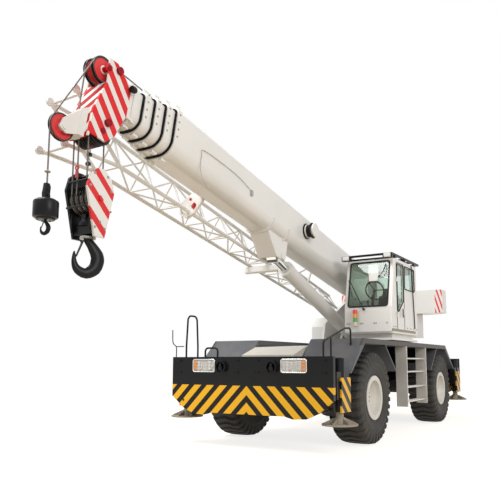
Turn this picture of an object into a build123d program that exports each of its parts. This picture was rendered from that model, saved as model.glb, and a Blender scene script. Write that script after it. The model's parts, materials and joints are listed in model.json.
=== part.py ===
from build123d import *
import os
from math import cos, radians, sin

os.makedirs("parts", exist_ok=True)

# A rough-terrain mobile crane with a telescopic boom, a stowed lattice jib and four outriggers.
# Millimetres, +X forward, +Y to the left, +Z up, origin on the ground under the middle of the whole.
# In a name, "left" is the +Y side, and lengths along the boom run from its foot pin.

# Clearances
run = 8.0
seat = 0.3
pin_play = 0.05

# Carrier
body_half = 1547.0
frame_half = 450.0
frame_low = 980.0
frame_top = 1500.0
deck_top = 1822.0
deck_edge = 90.0
deck_inner = 541.0
bumper_reach = 4000.0
rear_reach = 4050.0
bumper_plate = 50.0
bumper_top = 1506.0
bumper_skin = 10.0
box_length = 600.0
box_low = 800.0
box_top = 1490.0
box_half = 1390.0

# Wheels and axles
axle_x = 2200.0
wheel_radius = 800.0
wheel_half_width = 300.0
wheel_y = 1240.0
bead_radius = 318.0
bead_half = 248.0
flange_radius = 381.0
hub_radius = 175.0
dish_radius = 205.0
dish_depth = 100.0
spindle_radius = 75.0
kingpin_y = 860.0
kingpin_radius = 45.0
knuckle_eye_radius = 95.0
knuckle_eye_half = 100.0
axle_tube_radius = 110.0
diff_radius = 170.0
axle_pad_y = 360.0

# Outriggers
beam_width = 240.0
beam_height = 300.0
beam_wall = 16.0
beam_middle_z = 1060.0
beam_offset = 150.0
bumper_return = box_length / 2 - beam_offset - beam_width / 2 - run
beam_inner_end = 1150.0
jack_y = 1485.0
jack_tube_radius = 85.0
jack_rod_radius = 60.0
jack_tube_low = 660.0
jack_tube_top = 1480.0
jack_box_length = 460.0
float_radius = 280.0
float_bottom = 455.0
float_plate = 25.0

# Superstructure
ring_radius = 500.0
ring_height = 340.0
base_plate = 40.0
side_plate = 50.0
side_inner = 330.0
pivot_x = -1500.0
pivot_z = 2720.0
pivot_pin_radius = 60.0
ram_base_x = -400.0
ram_base_z = 2005.0
ram_pin_radius = 45.0
ram_eye_radius = 105.0
ram_eye_half = 135.0
barrel_radius = 135.0
barrel_collar = 14.0
ram_rod_radius = 90.0
rod_showing = 450.0
ram_rod_length = 2650.0

# Boom
luff = 10.4
boom_height = 700.0
boom_half = 290.0
boom_wall = 12.0
section_step = 27.0
boom_low = 5.0
base_end = 7940.0
collar_pitch = 178.0
collar_length = 90.0
collar_proud = 20.0
section_length = 7500.0
ram_eye_u = 4650.0
ram_eye_drop = 275.0
rod_eye_half = 95.0
lug_inner = barrel_radius + barrel_collar + run
lug_plate = 30.0

jib_arm_u = 4100.0
jib_arm_top_v = -222.0
jib_arm_end = 950.0
jib_bracket_u = 6550.0
reel_u = 4044.0
reel_v = 427.0
reel_radius = 130.0

# Boom head and hooks, along and across the boom
top_sheave_u = 9084.0
top_sheave_v = 580.0
low_sheave_u = 9007.0
low_sheave_v = -229.0
nose_sheave_u = 9435.0
nose_sheave_v = -390.0
sheave_radius = 170.0
nose_sheave_radius = 160.0
sheave_pin_radius = 35.0
head_plate = 25.0
nose_inner = 45.0
# columns: along, across
jib_pins = ((8940, 630), (8970, -110))
jib_pin_reach = 45.0
nose_plate = 20.0
rope_radius = 9.0
groove_depth = 24.0
block_top_z = 3655.0
block_low_z = 2880.0
hook_low_z = 2370.0
main_hook_radius = 205.0
small_hook_radius = 60.0
ball_radius = 135.0
ball_top_z = 3170.0
ball_low_z = 2940.0
ball_hook_low_z = 2770.0

# The whole is centred on its length, which sets where the slewing axis stands
slope = radians(luff)
nose_reach = pivot_x + nose_sheave_u * cos(slope) - nose_sheave_v * sin(slope)
ball_x = nose_reach + nose_sheave_radius - groove_depth + rope_radius + seat
front_reach = ball_x + ball_radius
slew_x = (rear_reach - front_reach) / 2
foot_x = slew_x + pivot_x
ram_x = slew_x + ram_base_x


def boom_point(u, v, y=0.0):
    """A point of the boom from its place along and across the boom."""
    x = foot_x + u * cos(slope) - v * sin(slope)
    z = pivot_z + u * sin(slope) + v * cos(slope)
    return Vector(x, y, z)


def boom_side(y):
    """A plane beside the boom: its x runs along the boom, its y across, its normal to the right."""
    return Plane(boom_point(0, 0, y), x_dir=(cos(slope), 0, sin(slope)), z_dir=(0, -1, 0))


def boom_cut(u):
    """A plane across the boom: its x runs to the left and its y up across the boom."""
    return Plane(boom_point(u, 0), x_dir=(0, 1, 0), z_dir=(cos(slope), 0, sin(slope)))


def side_plane(y):
    """An upright plane along the machine, with its normal to the right."""
    return Plane((0, y, 0), x_dir=(1, 0, 0), z_dir=(0, -1, 0))


def bar(start, end, radius):
    """A round bar between two points."""
    start = Vector(*start)
    end = Vector(*end)
    return Solid.make_cylinder(radius, (end - start).length, Plane(start, z_dir=end - start))


def save(piece, name):
    piece.part.label = name
    export_step(piece.part, f"parts/{name}.step")


# Chassis: a welded box girder between the outrigger boxes
front_box_x = slew_x + bumper_reach - bumper_plate - box_length / 2
rear_box_x = slew_x - rear_reach + bumper_plate + box_length / 2
girder_front = front_box_x - box_length / 2
girder_rear = rear_box_x + box_length / 2
web_recess = 60.0
web_margin = 130.0
# columns: middle of each recess from the slewing axis, length
web_panels = ((0, 2200), (2150, 1500), (-2150, 1500))
bracket_end = body_half - 270
bracket_plate = 50.0
with BuildPart() as chassis:
    with BuildSketch(Plane.XY.offset(frame_low)):
        with Locations(((girder_front + girder_rear) / 2, 0)):
            Rectangle(girder_front - girder_rear, 2 * frame_half)
    extrude(amount=frame_top - frame_low)
    for side in (-1, 1):
        with BuildSketch(side_plane(side * (frame_half + 1))):
            for x, length in web_panels:
                with Locations((slew_x + x, (frame_low + frame_top) / 2)):
                    Rectangle(length, frame_top - frame_low - 2 * web_margin)
        extrude(amount=side * web_recess, mode=Mode.SUBTRACT)
    deck_bracket_height = deck_top - deck_edge - frame_top + 100
    for x in (-1050, -350, 350, 1050):
        for side in (-1, 1):
            with BuildSketch(Plane.XY.offset(deck_top - deck_edge - deck_bracket_height)):
                with Locations((slew_x + x, side * (frame_half + bracket_end) / 2)):
                    Rectangle(bracket_plate, bracket_end - frame_half)
            extrude(amount=deck_bracket_height)
save(chassis, "chassis")

# Deck and fenders: one folded strip on each side of the slewing ring
fender_front = girder_front - slew_x
fender_slope_front = 2740.0
fender_rear = girder_rear - slew_x
fender_slope_rear = -2600.0
fender_low = 1240.0
flap = 40.0
with BuildPart() as deck:
    for side in (-1, 1):
        with BuildSketch(side_plane(side * (deck_inner + body_half) / 2)):
            with BuildLine():
                Polyline(
                    (slew_x + fender_rear, fender_low),
                    (slew_x + fender_slope_rear, deck_top),
                    (slew_x + fender_slope_front, deck_top),
                    (slew_x + fender_front, fender_low),
                    (slew_x + fender_front - flap, fender_low),
                    (slew_x + fender_slope_front - flap, deck_top - deck_edge),
                    (slew_x + fender_slope_rear + flap, deck_top - deck_edge),
                    (slew_x + fender_rear + flap, fender_low),
                    close=True,
                )
            make_face()
            for x_top, x_low in ((1690, 1100), (-1790, -1250)):
                with BuildLine():
                    Polyline(
                        (slew_x + x_top, deck_top - deck_edge + 1),
                        (slew_x + x_low, fender_low),
                        (slew_x + x_low + (flap if x_low < x_top else -flap), fender_low),
                        (slew_x + x_top + (flap if x_low < x_top else -flap), deck_top - deck_edge + 1),
                        close=True,
                    )
                make_face()
        extrude(amount=(body_half - deck_inner) / 2, both=True)
save(deck, "deck_and_fenders")

# Sloped hood between the front fenders
hood_half = 520.0
with BuildPart() as hood:
    with BuildSketch(side_plane(0)):
        with BuildLine():
            Polyline(
                (slew_x + 1150, frame_top),
                (girder_front, frame_top),
                (girder_front, frame_top + 40),
                (slew_x + 2900, frame_top + 190),
                (slew_x + 1150, frame_top + 260),
                close=True,
            )
        make_face()
    extrude(amount=hood_half, both=True)
    fillet(hood.edges().filter_by(Axis.Y).group_by(Axis.Z)[-1], 30)
save(hood, "front_hood")

# Engine under its hood behind the slewing ring
with BuildPart() as engine:
    with BuildSketch(Plane.XY.offset(frame_top)):
        with Locations((slew_x - 2300, 0)):
            Rectangle(1200, 640)
    extrude(amount=240)
save(engine, "engine_block")

# Outrigger boxes with a tunnel for each beam, and the bumper plates that close them
lamp_y = 870.0
lamp_z = 1360.0
lamp_width = 450.0
lamp_height = 205.0
lamp_corner = 45.0
# columns: y, z from the right end of the plate's lower edge to its middle
bumper_low = ((-body_half, 840), (-1300, 645), (-1080, 550), (-850, 540), (-700, 577))
bumper_edge = (*bumper_low, *((-y, z) for y, z in reversed(bumper_low)))
tie_hole = (-1300.0, 770.0)
tow_y = 490.0
tow_z = 1340.0
tow_radius = 100.0
tow_depth = 60.0
for end, box_x, face_x in (("front", front_box_x, bumper_reach), ("rear", rear_box_x, -rear_reach)):
    forward = 1 if end == "front" else -1
    plate_x = box_x + forward * box_length / 2
    plate_plane = Plane((plate_x, 0, 0), x_dir=(0, 1, 0), z_dir=(1, 0, 0))
    with BuildPart() as outrigger_box:
        with BuildSketch(Plane.XY.offset(box_low)):
            with Locations((box_x, 0)):
                Rectangle(box_length, 2 * box_half)
        extrude(amount=box_top - box_low)
        with BuildSketch(side_plane(0)):
            for shift in (-beam_offset, beam_offset):
                with Locations((box_x + shift, beam_middle_z + (run - seat) / 2)):
                    Rectangle(beam_width + 2 * run, beam_height + run + seat)
        extrude(amount=box_half, both=True, mode=Mode.SUBTRACT)
        with BuildSketch(plate_plane):
            with BuildLine():
                Polyline((-body_half, bumper_top), *bumper_edge, (body_half, bumper_top), close=True)
            make_face()
            with Locations(tie_hole):
                Circle(25, mode=Mode.SUBTRACT)
            if end == "front":
                with Locations((-lamp_y, lamp_z), (lamp_y, lamp_z)):
                    RectangleRounded(lamp_width, lamp_height, lamp_corner, mode=Mode.SUBTRACT)
        extrude(amount=forward * bumper_plate)
        with BuildSketch(plate_plane):
            for side in (-1, 1):
                with Locations((side * (body_half - bumper_skin / 2), (bumper_top + bumper_low[0][1]) / 2)):
                    Rectangle(bumper_skin, bumper_top - bumper_low[0][1])
        extrude(amount=-forward * bumper_return)
        if end == "front":
            face = plate_plane.offset(bumper_plate)
            with BuildSketch(face):
                with Locations((-tow_y, tow_z), (tow_y, tow_z)):
                    Circle(tow_radius)
                    Circle(tow_radius - 18, mode=Mode.SUBTRACT)
                with Locations((-tow_y, tow_z - tow_radius), (tow_y, tow_z - tow_radius)):
                    Rectangle(1.2 * tow_radius, tow_radius, mode=Mode.SUBTRACT)
            extrude(amount=tow_depth)
            with BuildSketch(face):
                for side in (-1, 1):
                    with Locations((side * tow_y, tow_z + 20)):
                        Rectangle(36, 70)
            extrude(amount=tow_depth)
            with BuildSketch(face.offset(tow_depth - 20)):
                for side in (-1, 1):
                    with Locations((side * tow_y, tow_z - 25)):
                        Circle(38)
            extrude(amount=20)
    save(outrigger_box, f"{end}_outrigger_box")

# Headlamp clusters set in the bumper's two windows
lens_set_back = 15.0
with BuildPart() as headlamps:
    for y in (-lamp_y, lamp_y):
        with BuildSketch(Plane((girder_front + box_length, 0, 0), x_dir=(0, 1, 0), z_dir=(1, 0, 0))):
            with Locations((y, lamp_z)):
                RectangleRounded(lamp_width - 2 * seat, lamp_height - 2 * seat, lamp_corner - seat)
        extrude(amount=bumper_plate - lens_set_back)
        lens_x = slew_x + bumper_reach - lens_set_back
        with BuildSketch(Plane((lens_x, 0, 0), x_dir=(0, 1, 0), z_dir=(1, 0, 0))):
            with Locations((y - 110, lamp_z), (y + 110, lamp_z)):
                Circle(85)
        extrude(amount=lens_set_back - 3, taper=20)
save(headlamps, "headlamps")

# Axles: a differential, two tubes, the eyes for the kingpins and the pads under the girder
for end, x in (("front", slew_x + axle_x), ("rear", slew_x - axle_x)):
    with BuildPart() as axle:
        with BuildSketch(Plane((x, 0, 0), x_dir=(0, 1, 0), z_dir=(1, 0, 0))):
            with BuildLine():
                tube_end = kingpin_y - knuckle_eye_radius + 10
                Polyline(
                    (-tube_end, wheel_radius), (-tube_end, wheel_radius + axle_tube_radius * 0.8),
                    (-320, wheel_radius + axle_tube_radius), (-140, wheel_radius + diff_radius),
                    (140, wheel_radius + diff_radius), (320, wheel_radius + axle_tube_radius),
                    (tube_end, wheel_radius + axle_tube_radius * 0.8), (tube_end, wheel_radius), close=True,
                )
            make_face()
        revolve(axis=Axis((x, 0, wheel_radius), (0, 1, 0)))
        with BuildSketch(Plane.XY.offset(wheel_radius - knuckle_eye_half)):
            with Locations((x, kingpin_y), (x, -kingpin_y)):
                Circle(knuckle_eye_radius)
        extrude(amount=2 * knuckle_eye_half)
        with BuildSketch(Plane.XY.offset(wheel_radius)):
            with Locations((x, axle_pad_y), (x, -axle_pad_y)):
                Rectangle(260, 140)
        extrude(amount=frame_low - wheel_radius)
        with Locations((x, kingpin_y, wheel_radius), (x, -kingpin_y, wheel_radius)):
            Cylinder(kingpin_radius + pin_play, 3 * knuckle_eye_half, mode=Mode.SUBTRACT)
    save(axle, f"{end}_axle")

# Corners: each carries a knuckle, a rim and a tyre
yoke_plate = 60.0
for end, x in (("front", slew_x + axle_x), ("rear", slew_x - axle_x)):
    for hand, side in (("left", 1), ("right", -1)):
        y = side * wheel_y
        pin_y = side * kingpin_y
        back_y = kingpin_y + knuckle_eye_radius + run
        spindle_end = wheel_y + 60
        with BuildPart() as knuckle:
            for shift in (-knuckle_eye_half - seat - yoke_plate, knuckle_eye_half + seat):
                with BuildSketch(Plane.XY.offset(wheel_radius + shift)):
                    with Locations((x, pin_y)):
                        Circle(knuckle_eye_radius)
                    with Locations((x, side * (kingpin_y + back_y + 40) / 2)):
                        Rectangle(2 * knuckle_eye_radius, back_y + 40 - kingpin_y)
                extrude(amount=yoke_plate)
            yoke_half = knuckle_eye_half + seat + yoke_plate
            with BuildSketch(Plane((x, side * back_y, wheel_radius), x_dir=(1, 0, 0), z_dir=(0, side, 0))):
                Rectangle(2 * knuckle_eye_radius, 2 * yoke_half)
            extrude(amount=40)
            with BuildSketch(Plane((x, side * back_y, wheel_radius), x_dir=(1, 0, 0), z_dir=(0, side, 0))):
                Circle(spindle_radius)
            extrude(amount=spindle_end - back_y)
            with Locations((x, pin_y, wheel_radius)):
                Cylinder(kingpin_radius, 2 * yoke_half)
        save(knuckle, f"{end}_{hand}_knuckle")

        hub_inner = back_y + 40 + run
        with BuildPart() as rim:
            with BuildSketch(Plane((x, 0, wheel_radius), x_dir=(0, side, 0), z_dir=(1, 0, 0))):
                with BuildLine():
                    Polyline(
                        (hub_inner, 0), (hub_inner, hub_radius), (wheel_y + 20, hub_radius + 15),
                        (wheel_y + 60, bead_radius - 18), (wheel_y - bead_half - 24, bead_radius - 18),
                        (wheel_y - bead_half - 24, flange_radius), (wheel_y - bead_half - 4, flange_radius),
                        (wheel_y - bead_half - 4, bead_radius - seat),
                        (wheel_y + bead_half + 4, bead_radius - seat),
                        (wheel_y + bead_half + 4, flange_radius), (wheel_y + bead_half + 24, flange_radius),
                        (wheel_y + bead_half + 24, bead_radius - 18), (wheel_y + 200, bead_radius - 40),
                        (wheel_y + dish_depth + 10, dish_radius + 10), (wheel_y + dish_depth, dish_radius),
                        (wheel_y + dish_depth, 0), close=True,
                    )
                make_face()
            revolve(axis=Axis((x, 0, wheel_radius), (0, 1, 0)))
            bore_length = spindle_end + run - hub_inner
            bore_start = Plane((x, side * hub_inner, wheel_radius), x_dir=(1, 0, 0), z_dir=(0, side, 0))
            with BuildSketch(bore_start):
                Circle(spindle_radius + pin_play)
            extrude(amount=bore_length, mode=Mode.SUBTRACT)
        save(rim, f"{end}_{hand}_rim")

        with BuildPart() as tyre:
            with BuildSketch(Plane((x, y, wheel_radius), x_dir=(0, 1, 0), z_dir=(1, 0, 0))):
                with BuildLine():
                    Polyline(
                        (-bead_half, bead_radius), (-bead_half, flange_radius), (-wheel_half_width, 560),
                        (-wheel_half_width + 25, 720), (-wheel_half_width + 90, 790), (0, wheel_radius),
                        (wheel_half_width - 90, 790), (wheel_half_width - 25, 720), (wheel_half_width, 560),
                        (bead_half, flange_radius), (bead_half, bead_radius), close=True,
                    )
                make_face()
            revolve(axis=Axis((x, 0, wheel_radius), (0, 1, 0)))
        save(tyre, f"{end}_{hand}_tyre")

# Outrigger beams and jacks: each beam ends in a box with the jack's tube and a striped panel
jack_box_depth = body_half - box_half - run
jack_box_reach = 60.0
panel_width = 350.0
panel_depth = 30.0
panel_low = 650.0
panel_top = 1180.0
rib_plate = 12.0
for end, box_x, panel_shift in (("front", front_box_x, -55), ("rear", rear_box_x, -20)):
    for hand, side in (("left", 1), ("right", -1)):
        beam_x = box_x - side * beam_offset
        beam_root = (beam_x, -side * beam_inner_end, beam_middle_z)
        beam_start = Plane(beam_root, x_dir=(1, 0, 0), z_dir=(0, side, 0))
        with BuildPart() as beam:
            with BuildSketch(beam_start):
                Rectangle(beam_width, beam_height)
                Rectangle(beam_width - 2 * beam_wall, beam_height - 2 * beam_wall, mode=Mode.SUBTRACT)
            extrude(amount=beam_inner_end + box_half + run)
            with BuildSketch(Plane.XY.offset(beam_middle_z - beam_height / 2 - jack_box_reach)):
                with Locations((box_x, side * (body_half - jack_box_depth / 2))):
                    Rectangle(jack_box_length, jack_box_depth)
            extrude(amount=beam_height + 2 * jack_box_reach)
            with BuildSketch(Plane.XY.offset(panel_low)):
                with Locations((box_x + panel_shift, side * (body_half + panel_depth / 2))):
                    Rectangle(panel_width, panel_depth)
            extrude(amount=panel_top - panel_low)
            with BuildSketch(Plane.XY.offset(jack_tube_low)):
                with Locations((box_x, side * jack_y)):
                    Circle(jack_tube_radius)
            extrude(amount=jack_tube_top - jack_tube_low)
            with BuildSketch(Plane.XY.offset(jack_tube_low)):
                with Locations((box_x, side * jack_y)):
                    Circle(jack_rod_radius + pin_play)
            extrude(amount=jack_tube_top - jack_tube_low - 30, mode=Mode.SUBTRACT)
        save(beam, f"{end}_{hand}_outrigger_beam")

        with BuildPart() as jack:
            with BuildSketch(Plane((box_x, side * jack_y, 0), x_dir=(1, 0, 0), z_dir=(0, -1, 0))):
                with BuildLine():
                    Polyline(
                        (0, float_bottom), (float_radius, float_bottom),
                        (float_radius, float_bottom + float_plate), (110, float_bottom + float_plate),
                        (90, float_bottom + 110),
                        (jack_rod_radius, float_bottom + 130), (jack_rod_radius, jack_tube_top - 60),
                        (0, jack_tube_top - 60), close=True,
                    )
                make_face()
            revolve(axis=Axis((box_x, side * jack_y, 0), (0, 0, 1)))
            for turn in range(0, 360, 60):
                along = (cos(radians(turn)), sin(radians(turn)), 0)
                across = (sin(radians(turn)), -cos(radians(turn)), 0)
                with BuildSketch(Plane((box_x, side * jack_y, 0), x_dir=along, z_dir=across)):
                    with BuildLine():
                        Polyline(
                            (jack_rod_radius, float_bottom + 10), (float_radius - 30, float_bottom + 10),
                            (float_radius - 30, float_bottom + float_plate + 15),
                            (jack_rod_radius, float_bottom + 125), close=True,
                        )
                    make_face()
                extrude(amount=rib_plate / 2, both=True)
        save(jack, f"{end}_{hand}_jack")

# Steps on both sides between the wheels: two cheeks and four rungs under the deck
with BuildPart() as steps:
    for side in (-1, 1):
        for x in (450, -900):
            with BuildSketch(Plane.XY.offset(530)):
                with Locations((slew_x + x, side * (body_half - 115))):
                    Rectangle(40, 230)
            extrude(amount=deck_top - deck_edge - 530)
        rungs = [
            bar((slew_x - 880, side * y, z), (slew_x + 430, side * y, z), 16)
            for z in (620, 910, 1220, 1490)
            for y in (body_half - 50, body_half - 180)
        ]
        add(rungs)
save(steps, "side_steps")

# Slewing ring on the girder
with BuildPart() as slewing_ring:
    with BuildSketch(Plane.XY.offset(frame_top)):
        with Locations((slew_x, 0)):
            Circle(ring_radius)
    extrude(amount=ring_height)
save(slewing_ring, "slewing_ring")

# Turntable: base plate, two side plates for the boom foot and the ram, and the cab's platform
table_low = frame_top + ring_height + seat
table_top = table_low + base_plate
side_outer = side_inner + side_plate
housing_front = -370.0
housing_rear = -2000.0
housing_inner = 450.0
housing_side = 1000.0
housing_top = 2470.0
cab_floor = 1975.0
with BuildPart() as turntable:
    with BuildSketch(Plane.XY.offset(table_low)):
        with Locations((slew_x - 1150, 0)):
            Rectangle(3700, 2 * side_outer + 120)
        with Locations((slew_x + 475, 950)):
            Rectangle(1610, 1190)
        with Locations((slew_x + (housing_front + housing_rear) / 2, -housing_side / 2)):
            Rectangle(housing_front - housing_rear + 30, housing_side + 30)
    extrude(amount=base_plate)
    with BuildSketch(side_plane(-housing_inner)):
        with BuildLine():
            Polyline(
                (slew_x + housing_rear, table_top), (slew_x + housing_front, table_top),
                (slew_x + housing_front, housing_top - 235), (slew_x + housing_front - 270, housing_top),
                (slew_x + housing_rear, housing_top), close=True,
            )
        make_face()
    extrude(amount=housing_side - housing_inner)
    for y in (side_outer, -side_inner):
        with BuildSketch(side_plane(y)):
            with BuildLine():
                Polyline(
                    (slew_x + 400, table_top), (slew_x + 300, ram_base_z + 260),
                    (foot_x + 500, pivot_z + 190), (foot_x - 200, pivot_z + 190),
                    (slew_x - 2900, pivot_z - 200), (slew_x - 2900, table_top), close=True,
                )
            make_face()
            with Locations((foot_x, pivot_z)):
                Circle(pivot_pin_radius + pin_play, mode=Mode.SUBTRACT)
        extrude(amount=side_plate)
    for y in (ram_eye_half + run, -ram_eye_half - run - 40):
        with BuildSketch(side_plane(y + 40)):
            with BuildLine():
                Polyline(
                    (ram_x - 300, table_top), (ram_x - 130, ram_base_z + 110),
                    (ram_x + 130, ram_base_z + 110), (ram_x + 300, table_top), close=True,
                )
            make_face()
            with Locations((ram_x, ram_base_z)):
                Circle(ram_pin_radius + pin_play, mode=Mode.SUBTRACT)
        extrude(amount=40)
    with BuildSketch(Plane.XY.offset(table_top)):
        with Locations((slew_x + 375, 1000)):
            Rectangle(1300, 900)
    extrude(amount=cab_floor - seat - table_top)
save(turntable, "turntable")

# Counterweight across the tail
weight_front = slew_x - 3050
weight_rear = slew_x - 3700
with BuildPart() as counterweight:
    weight_low = table_top + 180
    with BuildSketch(Plane.XY.offset(weight_low)):
        with BuildLine():
            Polyline(
                (weight_front, -1400), (weight_front, 1400), (weight_rear + 250, 1400),
                (weight_rear, 900), (weight_rear, -900), (weight_rear + 250, -1400), close=True,
            )
        make_face()
    extrude(amount=3280 - weight_low)
    with BuildSketch(Plane.XY.offset(weight_low)):
        for side in (-1, 1):
            with Locations(((weight_front + weight_rear) / 2, side * 1100)):
                Rectangle(800, 800)
    extrude(amount=2680 - weight_low, mode=Mode.SUBTRACT)
    with BuildSketch(Plane.XY.offset(table_top)):
        with Locations((slew_x - 3000 + 25, 0)):
            Rectangle(150, 600)
    extrude(amount=700)
save(counterweight, "counterweight")

# Winches between the side plates
with BuildPart() as winches:
    for x in (-2150, -2680):
        with BuildSketch(side_plane(side_inner - seat)):
            with Locations((slew_x + x, 2280)):
                Circle(215)
        extrude(amount=25)
        with BuildSketch(side_plane(side_inner - seat)):
            with Locations((slew_x + x, 2280)):
                Circle(165)
        extrude(amount=2 * (side_inner - seat))
        with BuildSketch(side_plane(-side_inner + seat + 25)):
            with Locations((slew_x + x, 2280)):
                Circle(215)
        extrude(amount=25)
save(winches, "winches")

# Cab shell: thick walls with the windows and the doorway cut
cab_rear = slew_x - 330
cab_front = slew_x + 1280
cab_roof = 3455.0
cab_rise = cab_roof - cab_floor
cab_inner_y = 550.0
cab_outer_y = 1545.0
cab_wall = 45.0
cab_corner = 40.0
screen_low_z = cab_floor + 0.348 * cab_rise
screen_top_x = slew_x + 1072
screen_low = screen_low_z + 20
screen_high = cab_roof - 55
screen_width = 800.0
door_rear = slew_x + 520
door_front = slew_x + 985
door_low = cab_floor + 60
door_top = cab_roof - 60
window_margin = 42.0
door_window_high = door_top - window_margin
door_window_rear_low = cab_floor + 0.46 * cab_rise
door_window_front_low = cab_floor + 0.29 * cab_rise
door_window = (
    (door_rear + window_margin, door_window_rear_low), (door_rear + window_margin, door_window_high),
    (door_front - window_margin, door_window_high), (door_front - window_margin, door_window_front_low + 30),
    (door_front - window_margin - 50, door_window_front_low),
)
pane = 8.0
side_window_x = slew_x + 150
side_window_z = cab_floor + 0.78 * cab_rise
side_window_length = 640.0
side_window_height = 0.31 * cab_rise
far_window_x = slew_x + 400
far_window_z = cab_floor + 0.69 * cab_rise
far_window_length = 900.0
far_window_height = 0.42 * cab_rise
rear_window_z = cab_floor + 0.72 * cab_rise
rear_window_width = 760.0
rear_window_height = 0.34 * cab_rise
hinge_heights = (cab_floor + 0.25 * cab_rise, cab_floor + 0.72 * cab_rise)
hinge_radius = 16.0
hinge_x = door_front + hinge_radius - 3
hinge_y = cab_outer_y + hinge_radius + run
hinge_pin_radius = 7.0
beacon_x = cab_front + 65
beacon_y = 810.0
beacon_low = 2120.0
beacon_radius = 42.0
beacon_lamp = 80.0
cab_middle_y = (cab_inner_y + cab_outer_y) / 2
cab_width = cab_outer_y - cab_inner_y
with BuildPart() as cab_shell:
    with BuildSketch(side_plane(cab_outer_y)) as cab_outline:
        with BuildLine():
            Polyline(
                (cab_rear, cab_floor), (cab_front - 30, cab_floor), (cab_front, cab_floor + 30),
                (cab_front, screen_low_z), (screen_top_x, cab_roof), (cab_rear, cab_roof), close=True,
            )
        make_face()
    extrude(amount=cab_width)
    upright = [e for e in cab_shell.edges() if e.center().X > screen_top_x and abs((e % 0.5).Y) < 0.1]
    fillet(upright, cab_corner)
    with BuildSketch(side_plane(cab_outer_y - cab_wall)):
        add(cab_outline.sketch)
        offset(amount=-cab_wall, kind=Kind.INTERSECTION, mode=Mode.REPLACE)
    extrude(amount=cab_width - 2 * cab_wall, mode=Mode.SUBTRACT)
    with BuildSketch(Plane((slew_x, 0, 0), x_dir=(0, 1, 0), z_dir=(1, 0, 0))):
        with Locations((cab_middle_y, (screen_low + screen_high) / 2)):
            Rectangle(screen_width, screen_high - screen_low)
    extrude(amount=2000, mode=Mode.SUBTRACT)
    with BuildSketch(side_plane(cab_outer_y + 1)):
        with Locations(((door_rear + door_front) / 2, (door_low + door_top) / 2)):
            Rectangle(door_front - door_rear, door_top - door_low)
        with Locations((side_window_x, side_window_z)):
            Rectangle(side_window_length, side_window_height)
    extrude(amount=cab_wall + 2, mode=Mode.SUBTRACT)
    with BuildSketch(side_plane(cab_inner_y - 1)):
        with Locations((far_window_x, far_window_z)):
            Rectangle(far_window_length, far_window_height)
    extrude(amount=-cab_wall - 2, mode=Mode.SUBTRACT)
    with BuildSketch(Plane((cab_rear - 1, 0, 0), x_dir=(0, 1, 0), z_dir=(1, 0, 0))):
        with Locations((cab_middle_y, rear_window_z)):
            Rectangle(rear_window_width, rear_window_height)
    extrude(amount=cab_wall + 2, mode=Mode.SUBTRACT)
    for z in hinge_heights:
        with BuildSketch(Plane.XY.offset(z - 50)):
            with Locations((hinge_x, hinge_y)):
                Circle(hinge_radius)
            with Locations((hinge_x + 20, cab_outer_y + 8)):
                Rectangle(40, 16)
        extrude(amount=40)
        with BuildSketch(Plane.XY.offset(z - 50)):
            with Locations((hinge_x, hinge_y)):
                Circle(hinge_pin_radius)
        extrude(amount=100)
save(cab_shell, "cab_shell")

# Cab door, as thick as the wall, with its window, hinge eyes and handle
with BuildPart() as cab_door:
    with BuildSketch(side_plane(cab_outer_y)):
        with Locations(((door_rear + door_front) / 2, (door_low + door_top) / 2)):
            Rectangle(door_front - door_rear - 2 * run, door_top - door_low - 2 * run)
        with BuildLine():
            Polyline(door_window, close=True)
        make_face(mode=Mode.SUBTRACT)
    extrude(amount=cab_wall)
    for z in hinge_heights:
        with BuildSketch(Plane.XY.offset(z - 10 + seat)):
            with Locations((hinge_x, hinge_y)):
                Circle(hinge_radius)
            with Locations((hinge_x - 30, (cab_outer_y + hinge_y) / 2)):
                Rectangle(44, hinge_y - cab_outer_y)
            with Locations((hinge_x, hinge_y)):
                Circle(hinge_pin_radius + pin_play, mode=Mode.SUBTRACT)
        extrude(amount=40)
    with BuildSketch(side_plane(cab_outer_y + 30)):
        with Locations((door_rear + 60, cab_floor + 0.3 * cab_rise)):
            Rectangle(24, 130)
    extrude(amount=32)
save(cab_door, "cab_door")
with BuildPart() as door_glass:
    with BuildSketch(side_plane(cab_outer_y - 18)):
        with BuildLine():
            Polyline(door_window, close=True)
        make_face()
        offset(amount=-seat, kind=Kind.INTERSECTION, mode=Mode.REPLACE)
    extrude(amount=pane)
save(door_glass, "door_glass")

# Fixed panes of the cab
with BuildPart() as cab_glass:
    with BuildSketch(side_plane(cab_middle_y)):
        with BuildLine():
            rise = (cab_front - screen_top_x) / (cab_roof - screen_low_z)
            low_x = cab_front - (screen_low + seat - screen_low_z) * rise - 14
            high_x = cab_front - (screen_high - seat - screen_low_z) * rise - 14
            Polyline(
                (low_x, screen_low + seat), (high_x, screen_high - seat),
                (high_x - pane, screen_high - seat), (low_x - pane, screen_low + seat), close=True,
            )
        make_face()
    extrude(amount=screen_width / 2 - seat, both=True)
    with BuildSketch(side_plane(cab_outer_y - 18)):
        with Locations((side_window_x, side_window_z)):
            Rectangle(side_window_length - 2 * seat, side_window_height - 2 * seat)
    extrude(amount=pane)
    with BuildSketch(side_plane(cab_inner_y + 18)):
        with Locations((far_window_x, far_window_z)):
            Rectangle(far_window_length - 2 * seat, far_window_height - 2 * seat)
    extrude(amount=pane)
    with BuildSketch(Plane((cab_rear + 18, 0, 0), x_dir=(0, 1, 0), z_dir=(1, 0, 0))):
        with Locations((cab_middle_y, rear_window_z)):
            Rectangle(rear_window_width - 2 * seat, rear_window_height - 2 * seat)
    extrude(amount=pane)
save(cab_glass, "cab_glass")

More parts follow.
